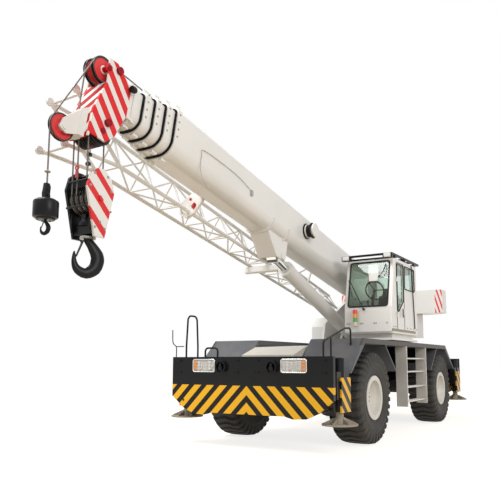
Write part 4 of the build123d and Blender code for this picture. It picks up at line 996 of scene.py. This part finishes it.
# columns: back from the shank, up from the lowest point, radius of the bar
forging = [
    (0.0, 0.620, 0.055), (0.0, 0.552, 0.055), (0.0, 0.463, 0.050), (0.050, 0.396, 0.058), (0.116, 0.296, 0.078),
    (0.128, 0.221, 0.082), (0.093, 0.125, 0.078), (-0.008, 0.063, 0.062), (-0.109, 0.101, 0.052),
    (-0.150, 0.179, 0.034), (-0.156, 0.269, 0.019), (-0.153, 0.310, 0.006),
]
stem_height = forging[0][1]


def add_hook(shape, stem, size, turn):
    """A forged hook that hangs at stem, size times the big one, turned about the upright."""
    way = Vector((-math.cos(turn), -math.sin(turn), 0))
    path = [stem + way * (back * size) + Vector((0, 0, (up - stem_height) * size)) for back, up, _ in forging]
    radii = [radius * size for _, _, radius in forging]
    fine = smooth_path(path, 3)
    fine_radii = []
    for i in range(len(fine)):
        place = i / 3
        low_index = min(int(place), len(radii) - 2)
        share = place - low_index
        fine_radii.append(radii[low_index] * (1 - share) + radii[low_index + 1] * share)
    side = Vector((0, 0, 1)).cross(way)
    rings = []
    for i, (point, radius) in enumerate(zip(fine, fine_radii)):
        ahead = (fine[min(i + 1, len(fine) - 1)] - fine[max(i - 1, 0)]).normalized()
        across = side.cross(ahead).normalized()
        flat = 0.62 if i > 5 else 1.0 - 0.38 * i / 5  # round at the stem, flattened below it
        rings.append([
            point + across * (radius * math.cos(a)) + side * (radius * flat * math.sin(a))
            for a in full_circle(20)
        ])
    add_rings(shape, rings)
    hinge = stem + way * (-0.060 * size) + Vector((0, 0, -0.185 * size))
    latch_end = stem + way * (-0.132 * size) + Vector((0, 0, -0.372 * size))
    ahead = (latch_end - hinge).normalized()
    out = side.cross(ahead).normalized()
    width = side * (0.022 * size)
    thick = out * (0.014 * size)
    outline = [hinge - width, hinge + width, latch_end + width * 0.6, latch_end - width * 0.6]
    add_plate(shape, [p - thick / 2 for p in outline], thick)
    add_tube(shape, [hinge - side * (0.045 * size), hinge + side * (0.045 * size)], 0.012 * size, 10)


hook_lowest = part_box("main_hook")[0].z
hook_shape = new_shape()
add_hook(hook_shape, Vector((block_x, 0, hook_lowest + 0.621)), 1.0, math.radians(-18))
main_forging = make_piece("forged_main_hook", hook_shape, black_paint, "main_hook", sharp=50.0)
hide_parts("main_hook")

nut_shape = new_shape()
add_turned(
    nut_shape, (block_x, 0, block_low.z - 0.004), (0, 0, 1),
    [(0.0, 0.0), (0.092, 0.0), (0.092, 0.022), (0.075, 0.032), (0.0, 0.034)], 24,
)
make_piece("hook_bearing", nut_shape, grey_steel, "main_hook")
print("main hook faces", len(main_forging.data.polygons))

# %% [markdown]
# Between the cheeks of the block the rope runs over four wheels, brown with grease. Four cross bars
# hold the cheeks apart, and a heavy collar over the hook holds its bearing.

# %% Block details
sheave_ys = (-0.12, -0.04, 0.04, 0.12)
rope_radius = 0.0095
groove = 0.170 - 0.024 + rope_radius
pin_z = 3.300
wrap_shape = new_shape()
for y in sheave_ys:
    for shift in (-0.018, 0.0, 0.018):
        ring = arc_points((block_x, y + shift, pin_z), groove, -185, 5, 22, ((1, 0, 0), (0, 0, 1)))
        add_tube(wrap_shape, ring, rope_radius, 8)
make_piece("block_rope_turns", wrap_shape, wire_rope, "main_hook", sharp=60.0)

block_shape = new_shape()
cheek_inner = 0.161
for x_off, z_off in ((0.185, 0.185), (0.190, -0.115), (-0.185, 0.185), (-0.190, -0.115)):
    bar_ends = [(block_x + x_off, y, pin_z + z_off) for y in (-cheek_inner, cheek_inner)]
    add_tube(block_shape, bar_ends, 0.013, 10)
strap_y = 0.14964
for y in (-strap_y, strap_y):
    for x_off in (-0.11, 0.11):
        add_block(block_shape, (block_x + x_off, y, 3.02), (0.03, 0.02, 0.22))
add_turned(
    block_shape, (block_x, 0, 2.985), (0, 0, 1),
    [(0.0, 0.0), (0.115, 0.0), (0.115, 0.02), (0.085, 0.10), (0.06, 0.13), (0.0, 0.135)], 24,
)
add_block(block_shape, (block_x + 0.07, 0.02, 3.085), (0.05, 0.07, 0.06))
make_piece("block_cross_bars", block_shape, black_paint, "main_hook", bevel=0.003)

block_screws = []
cheek_holes = (
    (-0.10, 3.58), (0.10, 3.58), (-0.16, 3.42), (0.16, 3.42), (-0.075, 2.95), (0.075, 2.95), (0.0, 3.02),
)
for side in (-1, 1):
    out = Vector((0, side, 0))
    for x_off, z in cheek_holes:
        block_screws.append((Vector((block_x + x_off, side * 0.1905, z)), out))
add_screws("block_screws", block_screws, 0.026, grey_steel, "main_hook")

shackle_shape = new_shape()
shackle_foot = Vector((block_x + 0.155, -0.05, 3.610))
add_block(shackle_shape, shackle_foot + Vector((0, 0, -0.025)), (0.030, 0.024, 0.09))
bow = arc_points(shackle_foot + Vector((0, 0, 0.055)), 0.026, -60, 240, 12, ((0, 1, 0), (0, 0, 1)))
add_tube(shackle_shape, bow, 0.009, 8)
make_piece("rope_shackle", shackle_shape, red_paint, "main_hook")
print("block dressed")

# %% [markdown]
# The small hook carries a round weight with a bolted lower plate, a long socket for the rope's end
# and a stop on the rope above it.

# %% Small hook and its weight
ball_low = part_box("aux_hook")[0]
small_hook_size = 0.34
ball_x = (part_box("aux_fall")[0].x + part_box("aux_fall")[1].x) / 2
weight_shape = new_shape()
add_turned(
    weight_shape, (ball_x, 0, 0), (0, 0, 1),
    [
        (0.0, 2.942), (0.098, 2.942), (0.104, 2.950), (0.104, 2.958), (0.128, 2.966), (0.1345, 2.976),
        (0.1345, 3.136), (0.128, 3.150), (0.108, 3.156), (0.100, 3.168), (0.050, 3.170), (0.044, 3.185),
        (0.0, 3.186),
    ], 40,
)
socket_corners = (
    (-0.040, 3.17), (0.040, 3.17), (0.046, 3.23), (0.034, 3.30), (0.028, 3.349), (-0.020, 3.349),
    (-0.036, 3.31), (-0.030, 3.24),
)
add_plate(weight_shape, [(ball_x + x_off, 0.022, z) for x_off, z in socket_corners], (0, -0.044, 0))
for half_length, z, radius in ((0.034, 3.215, 0.013), (0.030, 3.275, 0.009)):
    add_tube(weight_shape, [(ball_x, -half_length, z), (ball_x, half_length, z)], radius, 10)
small_stem = Vector((ball_x, 0, ball_low.z + 0.622 * small_hook_size))
add_hook(weight_shape, small_stem, small_hook_size, math.radians(-75))
small_hook = make_piece(
    "weighted_small_hook", weight_shape, black_paint, "aux_hook", bevel=0.002,
)
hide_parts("aux_hook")
add_screws(
    "weight_screws", ring_of((ball_x, 0, 2.946), (0, 0, -1), 0.078, 6, 15), 0.024, tan_steel,
    "aux_hook",
)
stop_shape = new_shape()
stop_profile = [(0.010, 0.0), (0.030, 0.004), (0.034, 0.014), (0.016, 0.024), (0.010, 0.030)]
add_turned(stop_shape, (ball_x, 0, 3.470), (0, 0, 1), stop_profile, 16)
make_piece("rope_stop", stop_shape, tan_steel, "aux_hook")
print("small hook dressed")

# %% [markdown]
# ## Warning chain
# A dark red bracket under the head holds a chain with small weights. When the block lifts them, an
# alarm sounds. The links repeat along a line, each turned a quarter from the last, so a tree sets
# them on the points of a path.

# %% The chain tree
chain_tree, chain_in, chain_out = new_form_tree(
    "chain_of_links", [("Pitch", "Float"), ("Wire", "Float"), ("Finish", "Material")],
)
link_pitch = Number(chain_in["Pitch"])
chain_line = add_node(chain_tree, "GeometryNodeMeshToCurve", {"Mesh": chain_in["Geometry"]})
chain_points = add_node(
    chain_tree, "GeometryNodeResampleCurve", {"Curve": chain_line, "Length": link_pitch}, mode="LENGTH",
)
link_round = add_node(chain_tree, "GeometryNodeCurvePrimitiveCircle", {"Resolution": 12, "Radius": 1.0})
link_size = add_node(chain_tree, "ShaderNodeCombineXYZ", {"X": link_pitch * 0.72, "Y": link_pitch * 0.46})
link_path = add_node(chain_tree, "GeometryNodeTransform", {"Geometry": link_round, "Scale": link_size})
wire_round = add_node(
    chain_tree, "GeometryNodeCurvePrimitiveCircle", {"Resolution": 6, "Radius": chain_in["Wire"]},
)
link_form = add_node(chain_tree, "GeometryNodeCurveToMesh", {"Curve": link_path, "Profile Curve": wire_round})
odd = Number(add_node(chain_tree, "GeometryNodeInputIndex")).calc("MODULO", 2.0)
quarter_turn = add_node(chain_tree, "ShaderNodeCombineXYZ", {"X": odd * (math.pi / 2)})
twist = add_node(chain_tree, "FunctionNodeEulerToRotation", {"Euler": quarter_turn})
tangent = add_node(chain_tree, "GeometryNodeInputTangent")
along_line = add_node(chain_tree, "FunctionNodeAlignRotationToVector", {"Vector": tangent}, axis="X")
link_turn = add_node(
    chain_tree, "FunctionNodeRotateRotation", {"Rotation": along_line, "Rotate By": twist},
    rotation_space="LOCAL",
)
links_placed = set_copies(chain_tree, chain_points, link_form, link_turn)
close_tree(chain_tree, links_placed, chain_in["Finish"], chain_out)


def path_mesh(name, points):
    """A mesh of edges from point to point, for a tree to follow."""
    mesh = bpy.data.meshes.new(name)
    mesh.from_pydata([tuple(p) for p in points], [(i, i + 1) for i in range(len(points) - 1)], [])
    return mesh


chain_top = Vector((on_boom(9.00, -0.35).x, 0.0, 3.935))
chain_low = Vector((chain_top.x + 0.03, 0.0, 3.700))
chain_sag = (chain_top + chain_low) / 2 + Vector((0.004, 0, 0))
grow(
    "warning_chain", path_mesh("chain_path", [chain_top, chain_sag, chain_low]), chain_tree,
    {"Pitch": 0.026, "Wire": 0.0035, "Finish": grey_steel}, "main_hook", sharp=60.0,
)
print("chain tree:", len(chain_tree.nodes), "nodes")

# %% Bracket and weights
bracket_shape = new_shape()
bracket_top = chain_top + Vector((0, 0, 0.165))
bracket_corners = (
    (-0.045, 0.0), (0.045, 0.0), (0.055, -0.06), (0.035, -0.12), (0.02, -0.16), (-0.012, -0.165),
    (-0.03, -0.11), (-0.05, -0.06),
)
add_plate(bracket_shape, [bracket_top + Vector((x, 0.012, z)) for x, z in bracket_corners], (0, -0.024, 0))
add_tube(bracket_shape, [bracket_top + Vector((0, y, -0.14)) for y in (-0.03, 0.03)], 0.011, 10)
bracket_red = finish_material("bracket_red", dark_red, 0.35, wear=0.3)
make_piece("warning_bracket", bracket_shape, bracket_red, "boom_section_5", bevel=0.004)
weights_shape = new_shape()
for share in (0.35, 0.85):
    centre = chain_top.lerp(chain_low, share)
    add_turned(
        weights_shape, centre + Vector((0, 0, -0.025)), (0, 0, 1),
        [(0.006, 0.0), (0.030, 0.006), (0.034, 0.025), (0.024, 0.045), (0.006, 0.050)], 12,
    )
make_piece("warning_weights", weights_shape, black_paint, "main_hook")
print("warning chain hung")

# %% [markdown]
# ## Collars and wear pads, with painted shade
# Each section of the boom ends in a collar. Dark pads fill the gap between a collar and the section
# that slides in it, and screws hold them. Their black is partly the pads' own colour and partly painted
# shade, standing in for the shadow in that gap. Each ring of pads follows the section's own outline,
# with small round corners on top and large ones below.

# %% Pads round the sliding sections
sections = ("boom", "boom_section_2", "boom_section_3", "boom_section_4", "boom_section_5")
section_half = [0.290 - 0.027 * i for i in range(5)]
section_height = [0.700 - 0.054 * i for i in range(5)]
section_end = [7.940 + 0.178 * i for i in range(5)]
middle_v = 0.355


def section_ring(u, half, height, grow_by):
    """Points round a section's outline at u, grown outwards."""
    top, belly = 0.060 + grow_by, 0.7 * half + grow_by
    wide, high = half + grow_by, height / 2 + grow_by
    corners = [
        (wide - top, high - top, top, 0), (-wide + top, high - top, top, 90),
        (-wide + belly, -high + belly, belly, 180), (wide - belly, -high + belly, belly, 270),
    ]
    points = []
    for y, v, radius, start in corners:
        for k in range(7):
            a = math.radians(start + 15 * k)
            points.append(on_boom(u, middle_v + v + radius * math.sin(a), y + radius * math.cos(a)))
    return points


# The pads are near black: painted shade for the shadow in the gap at each collar, over the pads' own dark
# colour.
pad_and_gap_shade_black = finish_material("pad_and_gap_shade_black", (0.008, 0.008, 0.008), 0.7, wear=0, dust_amount=0, specular=0.1)
for i in range(4):
    pad_shape = new_shape()
    inner = (section_half[i + 1], section_height[i + 1])
    start, end = section_end[i] + 0.0005, section_end[i] + 0.020
    add_rings(pad_shape, [
        section_ring(start, *inner, 0.003), section_ring(start, *inner, 0.030),
        section_ring(end, *inner, 0.026), section_ring(end, *inner, 0.003),
    ], closed=True)
    # Each ring of pads is painted shade in the gap in front of its collar.
    make_piece(f"wear_pads_{i + 1}", pad_shape, pad_and_gap_shade_black, sections[i])
    collar_screws = []
    face = section_half[i] + 0.0205
    for v in (0.26, 0.15, 0.04, -0.07):
        for side in (-1, 1):
            screw_place = on_boom(section_end[i] - 0.045, middle_v + v, side * face)
            collar_screws.append((screw_place, Vector((0, side, 0))))
    for y in (-0.12, 0.0, 0.12):
        top = middle_v + section_height[i] / 2 + 0.0205
        collar_screws.append((on_boom(section_end[i] - 0.045, top, y), boom_up))
    add_screws(f"collar_screws_{i + 1}", collar_screws, 0.024, grey_steel, sections[i])
print("pads and collar screws on four sections")

# %% [markdown]
# ## Along the boom
# A pipe runs along the left side, red discs mark the bracket of the folded jib, and a spring drum
# pays out the cable of the load display.

# %% Pipe, discs and drum
pipe_shape = new_shape()
pipe_places = (
    (5.544, 3.933), (5.650, 4.02), (5.685, 4.15), (5.660, 4.34), (5.579, 4.427), (4.799, 4.306), (4.337, 4.154),
)
add_tube(pipe_shape, smooth_path([on_carrier(x, 0.304, z) for x, z in pipe_places], 5), 0.0045, 8)
add_block(pipe_shape, on_carrier(4.337, 0.306, 4.12), (0.05, 0.025, 0.09))
make_piece("side_pipe", pipe_shape, grey_steel, "boom", sharp=60.0)

disc_shape = new_shape()
for u, v, radius in ((6.575, -0.066, 0.062), (6.70, 0.00, 0.024), (6.50, 0.060, 0.024)):
    add_turned(
        disc_shape, on_boom(u, v, -0.350), (0, 1, 0),
        [(0.0, -0.004), (radius, -0.004), (radius, 0.012), (radius * 0.8, 0.018), (0.0, 0.018)], 24,
    )
make_piece("bracket_discs", disc_shape, red_paint, "boom")

drum_shape = new_shape()
drum_profile = [
    (0.0, 0.0), (0.150, 0.0), (0.150, 0.010), (0.118, 0.014), (0.118, 0.120), (0.150, 0.124), (0.150, 0.134),
    (0.0, 0.136),
]
add_turned(drum_shape, on_boom(4.044, 0.427, 0.0) + Vector((0, 0.2925, 0)), (0, 1, 0), drum_profile, 36)
make_piece("cable_drum", drum_shape, black_paint, "boom", bevel=0.002)
print("boom side dressed")

# %% [markdown]
# The hoist rope leaves the top wheels of the head, goes over the nose wheel, and a second one runs
# down before the front panel to the low wheels.

# %% Ropes of the head


def rope_turn(sheave, radius, y, start, step, count):
    """Points of a rope that lies in a sheave's groove; start and step are in degrees."""
    turns = [math.radians(start + step * k) for k in range(count)]
    return [on_boom(sheave[0] + radius * math.cos(a), sheave[1] + radius * math.sin(a), y) for a in turns]


head_ropes = new_shape()
to_nose = [on_boom(9.230, 0.633, 0.06), on_boom(9.576, -0.339, 0.004)]
to_low_sheaves = [on_boom(9.240, 0.580, -0.06), on_boom(9.222, 0.10, -0.05), on_boom(9.190, -0.18, -0.04)]
over_nose = rope_turn(nose_sheave, 0.151, 0.002, 20, -9, 10)
over_top = [rope_turn(top_sheave, 0.158, y, 20, 10, 11) for y in (-0.06, 0.06)]
for path in (to_nose, to_low_sheaves, over_nose, *over_top):
    add_tube(head_ropes, path, rope_radius, 8)
make_piece("head_ropes", head_ropes, wire_rope, "boom_section_5", sharp=60.0)

lamp_shape = new_shape()
lamp_profile = [(0.0, -0.03), (0.035, -0.03), (0.045, 0.0), (0.045, 0.04), (0.0, 0.042)]
add_turned(lamp_shape, (4.945, 0.25, 4.777), (1, 0, 0), lamp_profile, 20)
make_piece("boom_lamp", lamp_shape, black_paint, "boom_section_5")
print("head ropes run")

# %% [markdown]
# ## The cab's trim
# Rubber profiles hold the panes in their cut-outs. They are drawn as bars along the edges of the
# openings. The windscreen leans back, so its profile lies in the leaning plane.

# %% Planes of the cab
rubber_black = finish_material(
    "rubber_black", (0.014, 0.014, 0.015), 0.6, wear=0, dust_amount=0.1, specular=0.3,
)
side_y = 1.5475


def on_screen(y, z, out=0.004):
    """A point of the windscreen's plane."""
    return on_carrier(1.280 - (z - 2.490) * 0.208 / 0.965 + out, y, z)


def rounded(points, radius, steps=4):
    """A closed outline with its corners rounded."""
    path = []
    for i, corner in enumerate(points):
        before, after = points[i - 1], points[(i + 1) % len(points)]
        first = corner + (before - corner).normalized() * radius
        last = corner + (after - corner).normalized() * radius
        for k in range(steps + 1):
            t = k / steps
            path.append(first * (1 - t) ** 2 + corner * 2 * t * (1 - t) + last * t * t)
    return path


def on_side(x, z, y=side_y):
    """A point just outside the cab's left wall."""
    return on_carrier(x, y, z)


print("cab helpers ready")

# %% Profiles round the panes


def four_corners(a_low, a_high, b_low, b_high):
    """The corners of a rectangle, in order."""
    return [(a_low, b_low), (a_high, b_low), (a_high, b_high), (a_low, b_high)]


seals = new_shape()
screen_edge = [on_screen(y, z) for y, z in four_corners(0.640, 1.455, 2.502, 3.408)]
add_tube(seals, rounded(screen_edge, 0.05), 0.016, 8, closed=True)
side_edge = [on_side(x, z) for x, z in four_corners(-0.176, 0.476, 2.894, 3.366)]
add_tube(seals, rounded(side_edge, 0.04), 0.012, 8, closed=True)
make_piece("window_seals", seals, rubber_black, "superstructure", sharp=50.0)

door_seals = new_shape()
window_edge = [(0.556, 2.650), (0.556, 3.360), (0.949, 3.360), (0.949, 2.430), (0.895, 2.398)]
add_tube(door_seals, rounded([on_side(x, z) for x, z in window_edge], 0.03), 0.011, 8, closed=True)
door_edge = [on_side(x, z) for x, z in four_corners(0.526, 0.979, 2.042, 3.388)]
add_tube(door_seals, rounded(door_edge, 0.04), 0.005, 6, closed=True)
make_piece("door_seals", door_seals, rubber_black, "cab_door", sharp=50.0)
print("seals drawn")

# %% [markdown]
# A wiper, its arm and a second blade lie on the windscreen. An upright bar and a handle stand on the
# side, a mirror hangs inside, and a blank sheet leans behind the pane. Round bars along a few points
# give all of them.

# %% Wiper, mirror, sheet and bars
trim = new_shape()
wiper_arm = [on_screen(0.658, 3.019, 0.022), on_screen(0.80, 2.76, 0.026), on_screen(0.975, 2.447, 0.024)]
second_blade = [on_screen(0.62, 3.06, 0.020), on_screen(0.72, 2.70, 0.018)]
side_bar = [on_side(x, z, 1.556) for x, z in ((0.011, 3.44), (-0.060, 2.78), (-0.129, 2.11))]
handle = [on_side(0.697, z, 1.575) for z in (2.30, 2.47)]
add_tube(trim, wiper_arm, 0.008, 8)
add_tube(trim, second_blade, 0.006, 6)
wiper_hub = [(0.0, 0.0), (0.026, 0.0), (0.022, 0.024), (0.0, 0.026)]
add_turned(trim, on_screen(0.975, 2.447, 0.008), (1, 0, 0.2), wiper_hub, 16)
add_tube(trim, side_bar, 0.010, 8)
add_tube(trim, handle, 0.010, 8)
mirror_arm = [on_carrier(1.10, 1.38, 3.35), on_carrier(1.19, 1.36, 3.20), on_carrier(1.20, 1.25, 3.08)]
add_tube(trim, smooth_path(mirror_arm, 4), 0.009, 8)
make_piece("cab_black_trim", trim, rubber_black, "superstructure", sharp=50.0)

mirror_shape = new_shape()
add_block(mirror_shape, on_carrier(1.205, 1.155, 3.08), (0.030, 0.190, 0.165))
make_piece("cab_mirror", mirror_shape, white_paint, "superstructure", bevel=0.010)
sheet_shape = new_shape()
sheet_lean = Matrix.Rotation(math.radians(-12), 3, "Y")
add_block(sheet_shape, on_carrier(1.045, 1.10, 3.30), (0.004, 0.21, 0.24), sheet_lean)
make_piece("blank_sheet", sheet_shape, cab_white, "superstructure")

threshold = new_shape()
add_block(threshold, on_side(0.55, 2.035), (1.46, 0.012, 0.05))
make_piece("cab_threshold", threshold, tan_steel, "superstructure", bevel=0.003)
cab_screws = [
    (on_carrier(1.2815, y, 2.17), Vector((1, 0, 0))) for y in (0.62, 0.66, 0.90, 0.94, 1.18, 1.22, 1.44)
]
cab_screws += [
    (on_carrier(x, 1.5465, 2.10), Vector((0, 1, 0))) for x in (-0.25, -0.05, 0.15, 0.35, 1.08, 1.20)
]
add_screws("cab_screws", cab_screws, 0.026, grey_steel, "superstructure")
print("cab trim set")

# %% [markdown]
# ## The driver's place
# The seat shows through the panes. A cushion is a pad of foam under cloth, fuller in the middle and
# drawn in at the seam. So each face of a block is divided into a grid, and every point is moved by
# how near it lies to an edge or to a seam.

# %% A cushion


def add_cushion(shape, low, high, turn=None, parts=6):
    """A soft block between two corners: a grid on each face, pressed into a pillow."""
    pad = bmesh.new()
    bmesh.ops.create_cube(pad, size=2.0)
    bmesh.ops.subdivide_edges(pad, edges=pad.edges, cuts=parts, use_grid_fill=True)
    size = (high - low) / 2
    for vertex in pad.verts:
        p = vertex.co
        round_off = [1 - 0.10 * (abs(p[(k + 1) % 3]) ** 4 + abs(p[(k + 2) % 3]) ** 4) / 2 for k in range(3)]
        seam = 0.03 * math.exp(-((abs(p.y) - 0.55) / 0.06) ** 2)
        round_off[2] -= seam
        vertex.co = Vector([p[k] * round_off[k] * size[k] for k in range(3)])
        if turn:
            vertex.co = turn @ vertex.co
        vertex.co += (low + high) / 2
    temp = shape_mesh("cushion", pad)
    shape.from_mesh(temp)
    bpy.data.meshes.remove(temp)


print("cushion helper ready")

# %% Padded seat
seat_low, seat_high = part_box("operator_seat")
seat_middle = (seat_low + seat_high) / 2
seat_shape = new_shape()
base_top = seat_low.z + 0.30
back_x, top_z = seat_low.x, seat_high.z
base_low = Vector((back_x + 0.06, seat_low.y + 0.01, base_top))
base_high = Vector((seat_high.x - 0.005, seat_high.y - 0.01, base_top + 0.13))
add_cushion(seat_shape, base_low, base_high)
back_low = Vector((back_x + 0.035, seat_low.y + 0.02, base_top + 0.10))
back_high = Vector((back_x + 0.155, seat_high.y - 0.02, top_z - 0.16))
add_cushion(seat_shape, back_low, back_high, Matrix.Rotation(math.radians(-6), 3, "Y"))
rest_low = Vector((back_x + 0.020, seat_middle.y - 0.12, top_z - 0.17))
rest_high = Vector((back_x + 0.11, seat_middle.y + 0.12, top_z - 0.005))
add_cushion(seat_shape, rest_low, rest_high)
seat_cloth = finish_material(
    "seat_cloth", (0.035, 0.036, 0.04), 0.85, wear=0, dust_amount=0.1, specular=0.2, grain_scale=260,
    grain_depth=0.5,
)
seat = make_piece("padded_seat", seat_shape, seat_cloth, "superstructure", sharp=70.0)
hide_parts("operator_seat")
post = new_shape()
post_middle = (seat_middle.x + 0.03, seat_middle.y, (seat_low.z + base_top) / 2)
add_block(post, post_middle, (0.30, 0.30, base_top - seat_low.z))
make_piece("seat_suspension", post, black_paint, "superstructure", bevel=0.01)
print("seat padded")

# %% Levers and steering wheel
levers = new_shape()
knob = [(0.008, 0.0), (0.022, 0.02), (0.020, 0.06), (0.0, 0.07)]
for y in (seat_low.y - 0.06, seat_high.y + 0.06):
    lever_foot = Vector((seat_middle.x + 0.20, y, seat_low.z + 0.42))
    lever_top = lever_foot + Vector((0.02, 0, 0.20))
    add_tube(levers, [lever_foot, lever_top], 0.008, 8)
    add_turned(levers, lever_top, (0, 0, 1), knob, 14)
wheel_centre = on_carrier(0.86, 1.0475, 2.86)
wheel_radius = 0.19
wheel_up, wheel_side = Vector((0.35, 0, 0.94)), Vector((0, 1, 0))
wheel_rim = arc_points(wheel_centre, wheel_radius, 0, 345, 24, (wheel_up, wheel_side))
add_tube(levers, wheel_rim, 0.014, 8, closed=True)
add_tube(levers, [wheel_centre, on_carrier(1.02, 1.0475, 2.50)], 0.022, 10)
for a in (math.radians(90), math.radians(210), math.radians(330)):
    spoke = wheel_up * (wheel_radius * math.cos(a)) + wheel_side * (wheel_radius * math.sin(a))
    add_tube(levers, [wheel_centre, wheel_centre + spoke], 0.010, 8)
make_piece("driver_controls", levers, rubber_black, "superstructure", sharp=50.0)
print("seat and controls set")

# %% [markdown]
# Two work lamps stand at the front corners of the roof. Each is a pale box with a ribbed lens.

# %% Work lamps of the roof
lamp_boxes, lamp_fronts = new_shape(), new_shape()
for y in (1.47, 0.60):
    add_block(lamp_boxes, on_carrier(1.245, y, 3.487), (0.090, 0.135, 0.085))
    add_block(lamp_fronts, on_carrier(1.292, y, 3.487), (0.006, 0.115, 0.066))
make_piece("work_lamp_boxes", lamp_boxes, white_paint, "superstructure", bevel=0.008)
make_piece("work_lamp_lenses", lamp_fronts, lamp_lens, "superstructure", bevel=0.002)
print("work lamps set")

# %% [markdown]
# ## Lamps of the bumper
# Each headlamp has a bright rim, a wire guard and an amber part at its outer end. The guard is a grid
# of thin bars, far enough apart to let the light out.

# %% Lamp guards
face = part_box("headlamps")[1].x + 0.003
middle_z, wide, high = 1.360, 0.450, 0.205
chrome_shape, guard_shape, amber_shape = new_shape(), new_shape(), new_shape()
for side in (-1, 1):
    middle_y = side * 0.870
    across = (middle_y - wide / 2, middle_y + wide / 2)
    upright = (middle_z - high / 2, middle_z + high / 2)
    edge = [Vector((face, y, z)) for y, z in four_corners(*across, *upright)]
    add_tube(chrome_shape, rounded(edge, 0.035), 0.010, 8, closed=True)
    for k in range(1, 6):
        y = middle_y + wide * (k / 6 - 0.5)
        add_tube(guard_shape, [(face + 0.006, y, z) for z in upright], 0.0035, 6)
    for k in range(1, 4):
        z = middle_z + high * (k / 4 - 0.5)
        add_tube(guard_shape, [(face + 0.009, y, z) for y in across], 0.0035, 6)
    add_block(
        amber_shape, (face - 0.001, middle_y + side * wide * 0.38, middle_z),
        (0.006, wide * 0.18, high * 0.82),
    )
make_piece("lamp_rims", chrome_shape, chrome_rod, "carrier", sharp=50.0)
make_piece("lamp_guards", guard_shape, grey_steel, "carrier", sharp=50.0)
amber = finish_material("amber_lens", (0.85, 0.30, 0.03), 0.2, coat=0.6, wear=0, dust_amount=0.05)
make_piece("amber_lenses", amber_shape, amber, "carrier", bevel=0.002)
print("headlamps guarded")

# %% [markdown]
# ## Deck
# The engine cover is open at its sides, with slats that lean outwards, so air passes and rain does
# not. The slats repeat along a line, so a tree sets them, with their number and lean as inputs.
# Screws hold the bumper's plate, the slewing ring and the floats of the jacks.

# %% The slat tree
slat_tree, slat_in, slat_out = new_form_tree("leaning_slats", [
    ("Count", "Int"), ("Rise", "Float"), ("Length", "Float"), ("Depth", "Float"), ("Lean", "Float"),
    ("Finish", "Material"),
])
slat_size = add_node(
    slat_tree, "ShaderNodeCombineXYZ", {"X": slat_in["Length"], "Y": slat_in["Depth"], "Z": 0.004},
)
slat_form = add_node(slat_tree, "GeometryNodeMeshCube", {"Size": slat_size})
slat_step = add_node(slat_tree, "ShaderNodeCombineXYZ", {"Z": slat_in["Rise"]})
slat_line = add_node(
    slat_tree, "GeometryNodeMeshLine", {"Count": slat_in["Count"], "Offset": slat_step}, mode="OFFSET",
)
slat_lean = add_node(slat_tree, "ShaderNodeCombineXYZ", {"X": slat_in["Lean"]})
slat_turn = add_node(slat_tree, "FunctionNodeEulerToRotation", {"Euler": slat_lean})
close_tree(slat_tree, set_copies(slat_tree, slat_line, slat_form, slat_turn), slat_in["Finish"], slat_out)
print("slat tree:", len(slat_tree.nodes), "nodes")

# %% Slats
engine_low, engine_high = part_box("engine_block")
slat_rise = 0.05
slats_low = engine_low.z + 0.12
slat_count = max(3, int((engine_high.z - slats_low - 0.08) / slat_rise))
for hand, side, y in (("right", -1, engine_low.y - 0.012), ("left", 1, engine_high.y + 0.012)):
    for i, shift in enumerate((-0.30, 0.30)):
        place = Matrix.Translation(((engine_low.x + engine_high.x) / 2 + shift, y, slats_low))
        values = {
            "Count": slat_count, "Rise": slat_rise, "Length": 0.50, "Depth": 0.045, "Lean": -side * 0.7,
            "Finish": black_paint,
        }
        grow(
            f"air_slats_{hand}_{i + 1}", bpy.data.meshes.new("slat_seed"), slat_tree, values, "carrier",
            place=place,
        )
print("slats on the engine's sides")

# %% Corner marker
stay = new_shape()
stay_x = 3.97
stay_places = ((-1.50, 1.508), (-1.50, 1.68), (-1.58, 1.76), (-1.59, 1.985))
add_tube(stay, smooth_path([on_carrier(stay_x, y, z) for y, z in stay_places], 3), 0.009, 8)
add_tube(stay, [on_carrier(stay_x, y, 1.69) for y in (-1.50, -1.33)], 0.008, 8)
make_piece("corner_marker", stay, black_paint, "carrier", sharp=50.0)
print("corner marker set")

# %% Screws of bumper, ring and floats
bumper_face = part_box("front_outrigger_box")[1].x + 0.0005
bumper_screws = []
for side in (-1, 1):
    for y, z in ((1.40, 1.44), (1.40, 1.25), (0.20, 1.44), (0.20, 1.25)):
        bumper_screws.append((Vector((bumper_face, side * y, z)), Vector((1, 0, 0))))
add_screws("bumper_screws", bumper_screws, 0.026, black_paint, "carrier")

upward = (0, 0, 1)
ring_low, ring_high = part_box("slewing_ring")
ring_middle = (ring_low + ring_high) / 2
ring_top = (ring_middle.x, ring_middle.y, ring_high.z + 0.0005)
ring_places = ring_of(ring_top, upward, (ring_high.x - ring_low.x) / 2 - 0.035, 36)
add_screws("ring_screws", ring_places, 0.024, black_paint, "carrier")
for corner in corners:
    low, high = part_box(f"{corner}_jack")
    middle = (low + high) / 2
    float_places = ring_of((middle.x, middle.y, low.z + 0.055), upward, 0.125, 6, 30)
    add_screws(f"{corner}_float_screws", float_places, 0.028, tan_steel, f"{corner}_jack")
print("screws on bumpers, ring and floats")
